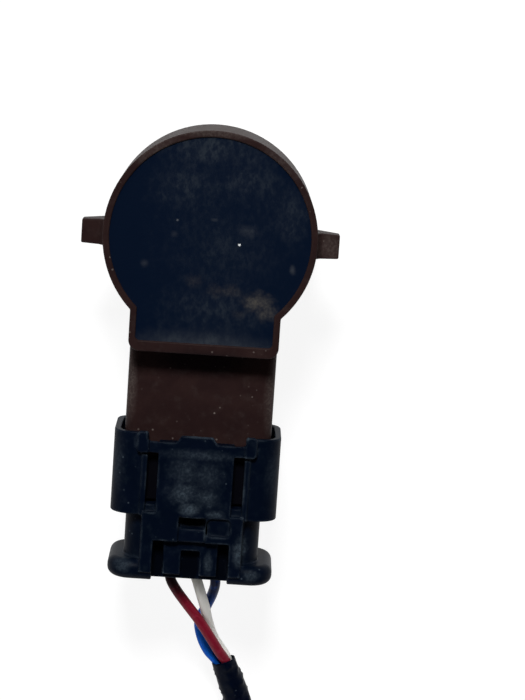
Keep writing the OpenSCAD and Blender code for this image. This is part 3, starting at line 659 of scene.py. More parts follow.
# Two-part polyurethane poured in and left to level: a smooth dark pool with a soft shine under wiped dust
RESIN = CastResin(
    "Polyurethane_cast_blue_black", "potting_resin", "#051022", 0.3, 0.1, film=0.4,
    hazes=(Mark(-2.4, 6.0, 14.0, 10.0, 0.4, 0.5, -0.2), Mark(4.0, 6.6, 13.0, 10.0, 0.36, 0.5, -0.2),
           Mark(0.0, 10.6, 22.0, 5.6, 0.36, 0.3), Mark(9.4, 3.4, 6.0, 11.0, 0.26, 0.4),
           # The first mark here makes the fill paler along the tongue's end wall
           Mark(0.2, -12.6, 22.0, 4.0, 0.3, 0.2), Mark(1.0, -8.5, 19.0, 10.0, 0.34, 0.5, -0.2),
           Mark(1.6, -1.0, 22.0, 22.0, 0.2, 0.4, -0.2)),
    soils=(Mark(6.1, -7.3, 5.4, 3.4, 0.5, 0.5, -0.4), Mark(7.4, -8.5, 3.8, 2.8, 0.36, 0.5, -0.4),
           Mark(2.0, -6.2, 6.4, 2.2, 0.17, 0.7, -0.4), Mark(-1.6, -5.2, 3.0, 2.4, 0.1, 0.6, -0.4),
           Mark(4.0, -8.9, 2.4, 1.6, 0.1, 0.5, -0.4)),
    chalks=(Mark(3.5, -0.54, 0.42, 0.38, 1.0, 0.1, 0.5), Mark(-7.62, -3.44, 1.3, 1.3, 0.022, 0.4, -0.2),
            Mark(9.98, -3.1, 1.0, 1.6, 0.04, 0.3, -0.1), Mark(4.3, 1.1, 3.2, 2.2, 0.02, 0.5, -0.3),
            Mark(4.9, 1.2, 1.0, 1.0, 0.02, 0.3, 0.0), Mark(-4.27, 0.26, 1.3, 1.1, 0.02, 0.3, 0.0),
            Mark(-4.02, 1.94, 0.4, 0.36, 0.1, 0.2), Mark(0.35, 2.23, 1.2, 0.6, 0.02, 0.3, 0.0),
            # This wide faint mark also makes the fill paler along the tongue's end wall
            Mark(0.2, -13.4, 26.0, 6.4, 0.032, 0.12, -0.3)))
# PVC drawn thin over the strands: plain satin colour, with painted shade where it leaves the plug
RED_PVC = WireInsulation(
    "PVC_extruded_red", "wire_red", "#7c1429", 0.4, 0.06, painted_shade="#1e070e", shade_reach=11 * MM,
    rubbed="#a83850")
WHITE_PVC = WireInsulation(
    "PVC_extruded_white", "wire_white", "#f2f0ea", 0.4, 0.2, painted_shade="#b2b0a8", rubbed="#f2f0ec")
BLUE_PVC = WireInsulation(
    "PVC_extruded_blue", "wire_blue", "#0858c0", 0.4, 0.06, painted_shade="#051236", shade_reach=14 * MM,
    rubbed="#2a66c0")
# Soft PVC sleeving: a dull black skin with grains of dust stuck to it
SLEEVE = DustyMoulding(
    "PVC_sleeving_black", "sleeve_pvc", "#030919", 0.3, 0.015, worn="#050c1d", dust="#66707a", haze=0.05,
    haze_cloud=replace(HAZE, size=0.9 * MM), corner=0.1, grit=0.55, edge=0.0)
# Bare drawn copper: warm metal with a slight bloom
COPPER = PlainFinish("Copper_drawn_strand", "wire_copper", "#b87348", 0.35, 0.5, 1.0, second="#9a5a3a")
# Acrylic lacquer sprayed on aluminium: an even skin with a little orange peel
PAINT = PlainFinish("Acrylic_paint_on_aluminium", "membrane_paint", "#2a1e1c", 0.35, 0.5, second="#2f2321",
                    grain_size=0.3 * MM, grain_depth=0.004 * MM)
# Moulded silicone: matt black that swallows light
RING = PlainFinish("Silicone_moulded_black", "decoupling_silicone", "#17181b", 0.6, 0.4, second="#1e1f22")
PLAIN_FINISHES = (
    PAINT, RING, COPPER,
    # Fired ceramic under a thin silver print: pale and chalky
    PlainFinish("PZT_silvered_ceramic", "piezo_ceramic", "#d8d2c0", 0.4, second="#c4bda8"),
    # Open foam: grey and quite matt
    PlainFinish("Polyurethane_foam_grey", "damping_foam", "#6b6b66", 0.9, second="#5c5c58"),
    # Poured silicone: milky with a soft shine
    PlainFinish("Silicone_poured_pale", "cup_silicone", "#b9b9b4", 0.5, second="#adada6"),
    # Thin lead insulation: plain red satin
    PlainFinish("Lead_insulation_red", "lead_insulation", "#b0483a", 0.45, second="#9c3c30"),
    # Solder resist over laminate: glossy green in two shades
    PlainFinish("Solder_resist_green", "board_laminate", "#1f5a3a", 0.3, second="#2a6c48"),
    # Moulded epoxy: matt charcoal
    PlainFinish("Epoxy_moulded_black", "chip_epoxy", "#202022", 0.6, second="#28282b"),
    # Ground ferrite: dense dark grey
    PlainFinish("Ferrite_ground_grey", "ferrite", "#3a3a3e", 0.5, second="#46464b"),
    # Drawn aluminium: bright and lightly clouded
    PlainFinish("Aluminium_drawn_can", "capacitor_can", "#a9adb2", 0.35, 0.5, 1.0, second="#9a9ea4"),
    # Fired chip ceramic: dull tan
    PlainFinish("Ceramic_fired_tan", "chip_ceramic", "#8a7a5c", 0.5, second="#7c6d50"),
    # Tin plate over brass: pale metal with a warm cast
    PlainFinish("Brass_tin_plated", "contact_brass", "#c6bea2", 0.3, 0.5, 1.0, second="#b3aa8c"),
    # Moulded PBT: plain rust-red satin
    PlainFinish("PBT_moulded_rust", "retainer_plastic", "#7d2f1e", 0.5, second="#8a3826"),
    # Oiled silicone: rust-red with a wet sheen
    PlainFinish("Silicone_oiled_rust", "seal_silicone", "#7f3826", 0.4, second="#8c4430"),
)


@dataclass
class PhotoView:
    """Camera at the photograph's viewpoint, fitted to the can's rim, the ears, the neck and the plug.

    Attributes:
        frame_px: Size of the photograph.
        focal_px: Focal length in its pixels.
        tilt: Lean of the view towards +Y, in degrees.
        side: Lean of the view towards +X, in degrees.
        roll: Turn of the camera about its own axis, in degrees.
        distance: Distance from the middle of the rim.
        rim_px: Pixel at which the middle of the rim shows.
        sensor: Width of the camera's sensor in millimetres.
        nearest: Distance from which the camera sees.
    """

    frame_px: tuple[int, int] = (525, 700)
    focal_px: float = 2363.0
    tilt: float = 9.0
    side: float = -1.0
    roll: float = 3.9
    distance: float = 280 * MM
    rim_px: tuple[float, float] = (210.3, 238.8)
    sensor: float = 36.0
    nearest: float = 10 * MM

    def build(self) -> Thing:
        """Make the camera and set it as the scene's own.

        Returns:
            The camera.
        """
        back = Vector((math.sin(math.radians(self.side)), math.sin(math.radians(self.tilt)), 0.0))
        back.z = math.sqrt(1 - back.length_squared)
        upright = (Vector((0.0, 1.0, 0.0)) - back * back.y).normalized()
        across = upright.cross(back)
        turn = math.radians(self.roll)
        right = across * math.cos(turn) + upright * math.sin(turn)
        up = upright * math.cos(turn) - across * math.sin(turn)
        rim = Vector((0.0, 0.0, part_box("sensor_housing")[1].z))
        scale = self.distance / self.focal_px
        offset_x = (self.rim_px[0] - self.frame_px[0] / 2) * scale
        offset_y = (self.frame_px[1] / 2 - self.rim_px[1]) * scale
        eye = rim + back * self.distance - right * offset_x - up * offset_y
        lens = bpy.data.cameras.new("Photo view")
        lens.sensor_width = self.sensor
        lens.lens = self.focal_px / max(self.frame_px) * self.sensor
        lens.clip_start = self.nearest
        camera = bpy.data.objects.new("Photo view", lens)
        bpy.context.collection.objects.link(camera)
        pose = Matrix((right, up, back)).transposed().to_4x4()
        pose.translation = eye
        camera.matrix_world = pose
        bpy.context.scene.camera = camera
        return camera


@dataclass(frozen=True)
class SoftBox:
    """One soft lamp aimed at the object.

    Attributes:
        name: Name of the lamp.
        azimuth: Direction from +X towards +Y, in degrees.
        elevation: Height above the horizon, in degrees.
        watts: Power of the lamp.
        size: Side of its square face.
        distance: Distance from the object.
    """

    name: str
    azimuth: float
    elevation: float
    watts: float
    size: float = 0.45
    distance: float = 0.6

    def build(self, target: Vector) -> None:
        """Make the lamp and turn it to the target.

        Args:
            target: What it is aimed at.
        """
        data = bpy.data.lights.new(self.name, "AREA")
        data.energy = self.watts
        data.size = self.size
        lamp = bpy.data.objects.new(self.name, data)
        bpy.context.collection.objects.link(lamp)
        turn, rise = math.radians(self.azimuth), math.radians(self.elevation)
        away = Vector((math.cos(turn) * math.cos(rise), math.sin(turn) * math.cos(rise), math.sin(rise)))
        lamp.location = target + away * self.distance
        lamp.rotation_mode = "QUATERNION"
        lamp.rotation_quaternion = away.to_track_quat("Z", "Y")


@dataclass
class Studio:
    """Pale floor, soft lamps at the sides and a room that is white low down and dark overhead.

    Attributes:
        floor_half: Half the side of the floor.
        floor_drop: Gap between the sensing face and the floor.
        glow: Share of plain white in what the camera sees of the floor.
        white: Level of that white.
        paper: Colour of the floor itself.
        horizon: Light level of the room low down.
        zenith: Light level of the room overhead.
        horizon_top: Height at which the room has become dark, as the sine of the elevation.
        lamps: The soft lamps.
    """

    floor_half: float = 4.0
    floor_drop: float = 0.2 * MM
    glow: float = 0.8
    white: float = 1.12
    paper: str = "#f9f9f9"
    horizon: float = 0.25
    zenith: float = 0.02
    horizon_top: float = 0.4
    lamps: tuple[SoftBox, ...] = (
        SoftBox("Key lamp", 96, 50, 3.2, size=0.12), SoftBox("Left lamp", 190, 22, 0.35),
        SoftBox("Right lamp", 350, 22, 0.25), SoftBox("Low lamp", 262, 16, 1.1))

    def build(self) -> None:
        """Make the floor, the lamps and the room, and set the plain view transform."""
        bpy.context.scene.view_settings.view_transform = "Standard"
        low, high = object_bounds()
        for lamp in self.lamps:
            lamp.build((low + high) / 2)
        self.room()
        self.floor()

    def room(self) -> None:
        """Light the room from its horizon."""
        world = bpy.data.worlds.new("Room")
        world.use_nodes = True
        tree = world.node_tree
        way = add_node(tree, "ShaderNodeTexCoord").outputs["Generated"]
        height = add_node(tree, "ShaderNodeSeparateXYZ", inputs={"Vector": way}).outputs["Z"]
        level = add_node(tree, "ShaderNodeMapRange", {"interpolation_type": "SMOOTHSTEP"}, {
            "Value": height, "From Max": self.horizon_top, "To Min": self.horizon, "To Max": self.zenith})
        sky = tree.nodes["Background"]
        sky.inputs["Color"].default_value = srgb("#ffffff")
        tree.links.new(level.outputs["Result"], sky.inputs["Strength"])
        bpy.context.scene.world = world

    def floor(self) -> None:
        """Lay the floor, which looks white and keeps a faint shadow."""
        side = self.floor_half
        mesh = bpy.data.meshes.new("Floor")
        plan = ((-side, -side), (side, -side), (side, side), (-side, side))
        mesh.from_pydata([(x, y, -self.floor_drop) for x, y in plan], [], [(0, 1, 2, 3)])
        # Matt paper: an even white that takes a soft shadow
        material = bpy.data.materials.new("Paper_matt_white")
        material.use_nodes = True
        tree = material.node_tree
        tree.nodes.clear()
        paper = add_node(tree, "ShaderNodeBsdfDiffuse", inputs={"Color": srgb(self.paper)})
        white = add_node(tree, "ShaderNodeEmission", inputs={"Strength": self.white})
        ray = add_node(tree, "ShaderNodeLightPath").outputs
        seen: Any = 0.0
        for kind in ("Is Camera Ray", "Is Glossy Ray", "Is Transmission Ray"):
            either = add_node(tree, "ShaderNodeMath", {"operation": "MAXIMUM"}, {0: seen, 1: ray[kind]})
            seen = either.outputs["Value"]
        share = add_node(tree, "ShaderNodeMath", {"operation": "MULTIPLY"}, {0: seen, 1: self.glow})
        mixed = add_node(tree, "ShaderNodeMixShader", inputs={
            0: share.outputs["Value"], 1: paper.outputs[0], 2: white.outputs[0]})
        add_node(tree, "ShaderNodeOutputMaterial", inputs={"Surface": mixed.outputs[0]})
        mesh.materials.append(material)
        plane = bpy.data.objects.new("Floor", mesh)
        bpy.context.collection.objects.link(plane)
        plane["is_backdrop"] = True


def place_piece(name: str, mesh: bpy.types.Mesh, finish: Finish) -> Thing:
    """Make a piece of the object from a finished mesh.

    Args:
        name: Name of the piece.
        mesh: Its mesh, in the object's own frame.
        finish: Its finish.

    Returns:
        The piece, which rides on the one body.
    """
    mesh.name = name
    mesh.materials.clear()
    mesh.materials.append(finish.material())
    piece = bpy.data.objects.new(name, mesh)
    bpy.context.collection.objects.link(piece)
    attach(piece, BODY)
    return piece


def rounded_copy(solid: Thing, name: str, finish: Finish, radius: float) -> Thing:
    """Copy a solid and round its sharp edges as a mould does.

    Args:
        solid: The solid to copy.
        name: Name of the new piece.
        finish: Its finish.
        radius: Size of the rounding.

    Returns:
        The new piece.
    """
    mesh = solid.data.copy()
    shape = bmesh.new()
    shape.from_mesh(mesh)
    bmesh.ops.remove_doubles(shape, verts=shape.verts, dist=WELD_GAP)
    bmesh.ops.dissolve_limit(shape, angle_limit=FLAT_ANGLE, verts=shape.verts, edges=shape.edges)
    shape.to_mesh(mesh)
    shape.free()
    mesh.shade_smooth()
    piece = place_piece(name, mesh, finish)
    bevel = piece.modifiers.new("Moulded edges", "BEVEL")
    bevel.limit_method = "ANGLE"
    bevel.angle_limit = EDGE_ANGLE
    bevel.width = radius
    bevel.segments = EDGE_STEPS
    bevel.use_clamp_overlap = False
    piece.modifiers.new("Even shading", "WEIGHTED_NORMAL")
    return piece


def smooth_path(points: list[Place], step: float) -> list[Vector]:
    """Draw one smooth curve through the points of a route.

    Args:
        points: The route.
        step: Greatest distance between two points of the curve.

    Returns:
        The curve's points, the route's own among them.
    """
    knots = [Vector(p) for p in points]
    knots = [2 * knots[0] - knots[1], *knots, 2 * knots[-1] - knots[-2]]
    curve = [knots[1]]
    for before, start, end, after in zip(knots, knots[1:], knots[2:], knots[3:]):
        gaps = [math.sqrt((b - a).length) for a, b in ((before, start), (start, end), (end, after))]
        leave = (start - before) / gaps[0] - (end - before) / (gaps[0] + gaps[1]) + (end - start) / gaps[1]
        reach = (end - start) / gaps[1] - (after - start) / (gaps[1] + gaps[2]) + (after - end) / gaps[2]
        count = max(1, math.ceil((end - start).length / step))
        for i in range(1, count + 1):
            t = i / count
            curve.append((2 * t ** 3 - 3 * t ** 2 + 1) * start + (t ** 3 - 2 * t ** 2 + t) * gaps[1] * leave
                         + (3 * t ** 2 - 2 * t ** 3) * end + (t ** 3 - t ** 2) * gaps[1] * reach)
    return curve


def headings(points: list[Vector]) -> list[Vector]:
    """Give the direction of a path at each of its points."""
    last = len(points) - 1
    return [(points[min(i + 1, last)] - points[max(i - 1, 0)]).normalized() for i in range(last + 1)]


class RoundSection:
    """Geometry tree that runs a round section along the edge paths of a mesh."""

    def __init__(self) -> None:
        """Build the tree with its named inputs."""
        tree = bpy.data.node_groups.new("Round section along a path", "GeometryNodeTree")
        for name, kind in (("Path", "Geometry"), ("Radius", "Float"), ("Sides", "Int"),
                           ("Finish", "Material")):
            tree.interface.new_socket(name, in_out="INPUT", socket_type=f"NodeSocket{kind}")
        tree.interface.new_socket("Skin", in_out="OUTPUT", socket_type="NodeSocketGeometry")
        given = add_node(tree, "NodeGroupInput").outputs
        section = add_node(tree, "GeometryNodeCurvePrimitiveCircle", inputs={
            "Resolution": given["Sides"], "Radius": given["Radius"]})
        line = add_node(tree, "GeometryNodeMeshToCurve", inputs={"Mesh": given["Path"]})
        run = add_node(tree, "GeometryNodeSplineParameter").outputs["Length"]
        kept_as = {"data_type": "FLOAT", "domain": "POINT"}
        marked = add_node(tree, "GeometryNodeStoreNamedAttribute", kept_as, {
            "Geometry": line.outputs[0], "Name": "along", "Value": run})
        skin = add_node(tree, "GeometryNodeCurveToMesh", inputs={
            "Curve": marked.outputs[0], "Profile Curve": section.outputs[0], "Fill Caps": True})
        smooth = add_node(tree, "GeometryNodeSetShadeSmooth", inputs={"Geometry": skin.outputs[0]})
        real = add_node(tree, "GeometryNodeRealizeInstances", inputs={"Geometry": smooth.outputs[0]})
        dressed = add_node(tree, "GeometryNodeSetMaterial", inputs={
            "Geometry": real.outputs[0], "Material": given["Finish"]})
        add_node(tree, "NodeGroupOutput", inputs={"Skin": dressed.outputs[0]})
        self.tree = tree

    def grow(self, paths: list[list[Vector]], radius: float, sides: int, finish: Finish) -> bpy.types.Mesh:
        """Run the section along some paths.

        Args:
            paths: The paths, each from one end to the other.
            radius: Radius of the section.
            sides: Sides of the section.
            finish: Finish of the skin.

        Returns:
            One plain mesh.
        """
        points = [p for path in paths for p in path]
        edges, first = [], 0
        for path in paths:
            edges += [(first + i, first + i + 1) for i in range(len(path) - 1)]
            first += len(path)
        wire = bpy.data.meshes.new("Paths")
        wire.from_pydata(points, edges, [])
        carrier = bpy.data.objects.new("Paths", wire)
        bpy.context.collection.objects.link(carrier)
        modifier = carrier.modifiers.new("Section", "NODES")
        modifier.node_group = self.tree
        values = {"Radius": radius, "Sides": sides, "Finish": finish.material()}
        for item in self.tree.interface.items_tree:
            if item.name in values:
                modifier[item.identifier] = values[item.name]
        depsgraph = bpy.context.evaluated_depsgraph_get()
        mesh = bpy.data.meshes.new_from_object(
            carrier.evaluated_get(depsgraph), preserve_all_data_layers=True, depsgraph=depsgraph)
        carrier.modifiers.clear()
        bpy.data.objects.remove(carrier)
        bpy.data.meshes.remove(wire)
        return mesh


def in_metres(points: list[Place]) -> list[Place]:
    """Turn a route in millimetres to metres."""
    return [tuple(c * MM for c in point) for point in points]


class Way(Enum):
    """The plug's three ways, with each one's place from the middle in steps of the pitch."""

    RED = -1
    WHITE = 0
    BLUE = 1


@dataclass
class Sleeve:
    """Soft sleeve round the wires, blistered near its mouth, which is drawn in and cut at a slant.

    Attributes:
        diameter: Outer diameter.
        wall: Wall of the plain sleeve.
        tuck: How far it is drawn in at its mouth.
        tuck_reach: Length over which it is drawn in.
        rim_wall: Least wall of the drawn mouth.
        slant: How far the mouth's top lies ahead of its middle line.
        slant_reach: Length over which the slant fades.
        blisters: Number of blisters.
        blister_run: Distance of the first and the last blister from the mouth, in millimetres.
        blister_width: Width of the least and the largest blister, in millimetres.
        blister_rise: Height of a blister as a share of its width.
        lump_size: Width of the soft lumps.
        lump_plain: Height of the lumps along the sleeve.
        lump_mouth: Height that they have more at the mouth.
        lump_reach: Length over which they lose it.
        sides: Sides of the section.
        step: Greatest distance between two sections.
        seed: Seed of the blisters.
        route: Route of the sleeve, in millimetres.
    """

    diameter: float = 3.5 * MM
    wall: float = 0.24 * MM
    tuck: float = 0.24 * MM
    tuck_reach: float = 9.0 * MM
    rim_wall: float = 0.06 * MM
    slant: float = 0.9 * MM
    slant_reach: float = 5.0 * MM
    blisters: int = 44
    blister_run: tuple[float, float] = (0.5, 8.0)
    blister_width: tuple[float, float] = (0.3, 0.5)
    blister_rise: float = 0.34
    lump_size: float = 1.6 * MM
    lump_plain: float = 0.03 * MM
    lump_mouth: float = 0.07 * MM
    lump_reach: float = 12 * MM
    sides: int = 48
    step: float = 0.25 * MM
    seed: int = 4
    route: list[Place] = field(default_factory=lambda: [
        (5.0, -56.1, 5.6), (5.9, -58.6, 4.1), (7.0, -61.6, 2.7), (8.2, -65.6, 1.9), (9.0, -70.6, 1.8),
        (9.0, -76.1, 1.8), (7.8, -81.6, 1.8), (5.4, -86.6, 1.8), (1.8, -90.8, 1.8), (-2.8, -93.6, 1.8)])

    def build(self) -> Thing:
        """Make the sleeve.

        Returns:
            The sleeve.
        """
        path = smooth_path(in_metres(self.route), self.step)
        draw = random.Random(self.seed)
        spots = [(draw.uniform(*self.blister_run) * MM, draw.uniform(0.0, math.tau),
                  draw.uniform(*self.blister_width) * MM) for _ in range(self.blisters)]
        shape = bmesh.new()
        skins: list[Ring] = []
        bores: list[Ring] = []
        run = 0.0
        for i, (point, way) in enumerate(zip(path, headings(path))):
            run += (point - path[i - 1]).length if i else 0.0
            skin, bore = self.section(shape, point, way, run, spots)
            skins.append(skin)
            bores.append(bore)
        for layer, flip in ((skins, False), (bores, True)):
            for first, second in zip(layer, layer[1:]):
                self.band(shape, first, second, flip)
        self.band(shape, bores[0], skins[0], False)
        self.band(shape, skins[-1], bores[-1], False)
        mesh = bpy.data.meshes.new("sleeve_skin")
        shape.to_mesh(mesh)
        shape.free()
        mesh.shade_smooth()
        sleeve = place_piece("sleeve_skin", mesh, SLEEVE)
        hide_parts("harness_sleeve")
        return sleeve

    def section(self, shape: bmesh.types.BMesh, point: Vector, way: Vector, run: float,
                spots: list[Spot]) -> tuple[Ring, Ring]:
        """Make the points of one section, which stay above the floor.

        Args:
            shape: Mesh of the sleeve.
            point: Middle of the section.
            way: Direction of the sleeve there.
            run: Distance from the mouth.
            spots: Distance, angle and width of each blister.

        Returns:
            Ring of the skin and ring of the bore.
        """
        side = UP.cross(way).normalized()
        over = way.cross(side)
        slanted = self.slant * max(0.0, 1 - run / self.slant_reach)
        skin: Ring = []
        bore: Ring = []
        for k in range(self.sides):
            turn = math.tau * k / self.sides
            out = math.cos(turn) * side + math.sin(turn) * over
            shift = way * (-slanted * math.sin(turn))
            outer = self.diameter / 2 + self.lump(point + out * self.diameter / 2, run, turn, spots)
            outer -= self.tuck * max(0.0, 1 - run / self.tuck_reach) ** 2
            inner = min(self.diameter / 2 - self.wall, outer - self.rim_wall)
            skin.append(shape.verts.new(point + out * outer + shift))
            skin[-1].co.z = max(skin[-1].co.z, 0.0)
            bore.append(shape.verts.new(point + out * inner + shift))
        return skin, bore

    def band(self, shape: bmesh.types.BMesh, first: Ring, second: Ring, flip: bool) -> None:
        """Join two rings of the sleeve with faces.

        Args:
            shape: Mesh of the sleeve.
            first: One ring.
            second: The next ring.
            flip: True where the faces look inwards.
        """
        for k in range(len(first)):
            n = (k + 1) % len(first)
            quad = (first[k], first[n], second[n], second[k])
            shape.faces.new(quad[::-1] if flip else quad)

    def lump(self, place: Vector, run: float, turn: float, spots: list[Spot]) -> float:
        """Give the height of the lumps and blisters at a place.

        Args:
            place: Place on the plain sleeve.
            run: Distance from its mouth.
            turn: Angle round it.
            spots: Distance, angle and width of each blister.

        Returns:
            Height above the plain sleeve.
        """
        near = max(0.0, 1 - run / self.lump_reach)
        height = (self.lump_plain + self.lump_mouth * near) * noise.noise(place / self.lump_size)
        for at, angle, width in spots:
            around = (turn - angle + math.pi) % math.tau - math.pi
            gap = ((run - at) ** 2 + (around * self.diameter / 2) ** 2) / width ** 2
            height += self.blister_rise * width * math.exp(-2 * gap)
        return height


@dataclass
class Strand:
    """Course of one wire.

    Attributes:
        way: The way that it leaves the plug by.
        finish: Finish of its insulation.
        angle: Place in the sleeve's section, in degrees.
        route: Free stretch between the plug and the sleeve, in millimetres.
        tail: Loose end past the sleeve, in millimetres.
    """

    way: Way
    finish: Finish
    angle: float
    route: list[Place]
    tail: list[Place]


@dataclass
class Pigtail:
    """Three wires that twist once, run through a soft sleeve and end cut and stripped.

    Attributes:
        pitch: Distance between the plug's ways.
        exit_y: Where the wires leave the plug.
        exit_z: Height at which they leave it.
        inside: Length of wire that shows in the plug's bores.
        wire_d: Diameter of a wire.
        wire_sides: Sides of a wire's section.
        wire_step: Greatest distance between two points of a wire's curve.
        fit: Gap between the wires in the sleeve.
        core_d: Diameter of the bare threads together.
        core_len: Length of the bare threads.
        core_lap: How far they start inside the insulation.
        core_turns: Turns of their twist over that length.
        press: How far the outer threads press on the middle one, as a share of a thread's radius.
        outer_threads: Threads that lie round the middle one.
        thread_sides: Sides of a thread's section.
        thread_steps: Steps along a thread.
        sleeve: The sleeve.
        strands: The three wires.
    """

    pitch: float = 2.7 * MM
    exit_y: float = -40.2 * MM
    exit_z: float = 13.05 * MM
    inside: float = 2.0 * MM
    wire_d: float = 1.3 * MM
    wire_sides: int = 20
    wire_step: float = 0.4 * MM
    fit: float = 0.02 * MM
    core_d: float = 0.75 * MM
    core_len: float = 3.5 * MM
    core_lap: float = 0.3 * MM
    core_turns: float = 0.55
    press: float = 0.1
    outer_threads: int = 6
    thread_sides: int = 8
    thread_steps: int = 12
    sleeve: Sleeve = field(default_factory=Sleeve)
    strands: list[Strand] = field(default_factory=lambda: [
        Strand(Way.RED, RED_PVC, 60.0, [
            (-2.7, -41.6, 13.0), (-2.3, -43.9, 12.9), (-1.5, -45.4, 12.4), (-0.1, -47.4, 11.5),
            (1.6, -49.8, 10.2), (3.1, -52.2, 9.0), (4.3, -54.3, 7.7)],
            [(-4.2, -95.8, 2.0), (-6.6, -98.0, 0.7), (-9.6, -100.2, 0.7)]),
        Strand(Way.WHITE, WHITE_PVC, -60.0, [
            (0.1, -41.6, 13.0), (1.0, -43.9, 12.8), (1.5, -45.5, 12.1), (2.2, -47.9, 10.5),
            (2.7, -50.2, 8.6), (3.5, -52.7, 6.7), (4.6, -54.7, 5.3)],
            [(-6.8, -95.6, 0.7), (-11.2, -97.4, 0.7)]),
        Strand(Way.BLUE, BLUE_PVC, 180.0, [
            (2.8, -41.6, 12.8), (3.3, -44.0, 12.0), (3.1, -46.0, 10.3), (2.4, -48.3, 8.5),
            (1.6, -50.7, 7.0), (2.0, -52.9, 6.4), (2.9, -54.8, 5.9)],
            [(-6.8, -93.8, 0.7), (-11.6, -94.4, 0.7)])])

    def build(self) -> list[Thing]:
        """Make the sleeve, the wires and their bare ends.

        Returns:
            The pieces.
        """
        section = RoundSection()
        made = [self.sleeve.build()]
        for strand in self.strands:
            made += self.wire(section, strand)
        return made

    def in_sleeve(self, angle: float) -> list[Place]:
        """Give a wire's course through the sleeve, where the three wires touch each other.

        Args:
            angle: Place in the sleeve's section, in degrees.

        Returns:
            The course's points in metres.
        """
        # Three wires that touch lie this far from the sleeve's middle line
        bundle = self.wire_d / math.sqrt(3) + self.fit
        turn = math.radians(angle)
        route = [Vector(p) * MM for p in self.sleeve.route]
        course = []
        for point, heading in zip(route, headings(route)):
            side = UP.cross(heading).normalized()
            off = math.cos(turn) * side + math.sin(turn) * heading.cross(side)
            course.append(tuple(point + bundle * off))
        return course

    def wire(self, section: RoundSection, strand: Strand) -> list[Thing]:
        """Make one wire and its bare end.

        Args:
            section: Tree that makes round sections.
            strand: The wire's course.

        Returns:
            The wire and the bare end.
        """
        colour = strand.way.name.lower()
        start = (strand.way.value * self.pitch, self.exit_y, self.exit_z)
        free, tail = in_metres(strand.route), in_metres(strand.tail)
        path = smooth_path([start, *free, *self.in_sleeve(strand.angle), *tail], self.wire_step)
        # The curve dips a little between the points of a tail, and the floor carries it there
        for point in path:
            point.z = max(point.z, self.wire_d / 2)
        root = Vector(start) + Vector((0.0, self.inside, 0.0))
        mesh = section.grow([[root, *path]], self.wire_d / 2, self.wire_sides, strand.finish)
        wire = place_piece(f"{colour}_lead", mesh, strand.finish)
        tip = self.bare_end(section, colour, path)
        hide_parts(f"{colour}_wire")
        return [wire, tip]

    def bare_end(self, section: RoundSection, colour: str, path: list[Vector]) -> Thing:
        """Twist copper threads out of the end of a wire, one in the middle and the others round it.

        Args:
            section: Tree that makes round sections.
            colour: Name of the wire.
            path: The wire's path.

        Returns:
            The bare end.
        """
        # Three threads lie side by side across the core
        thread_r = self.core_d / 3 / 2
        ring_r = 2 * thread_r - self.press * thread_r
        ahead = path[-1] - path[-2]
        ahead = Vector((ahead.x, ahead.y, 0.0)).normalized()
        side = UP.cross(ahead)
        over = ahead.cross(side)
        threads = []
        for k in range(self.outer_threads + 1):
            reach = ring_r if k < self.outer_threads else 0.0
            thread = []
            for i in range(self.thread_steps + 1):
                run = i / self.thread_steps
                turn = math.tau * (k / self.outer_threads + self.core_turns * run)
                thread.append(path[-1] + ahead * (run * self.core_len - self.core_lap * (1 - run))
                              + reach * (math.cos(turn) * side + math.sin(turn) * over))
            threads.append(thread)
        mesh = section.grow(threads, thread_r, self.thread_sides, COPPER)
        tip = place_piece(f"{colour}_strands", mesh, COPPER)
        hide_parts(f"{colour}_wire_tip")
        return tip


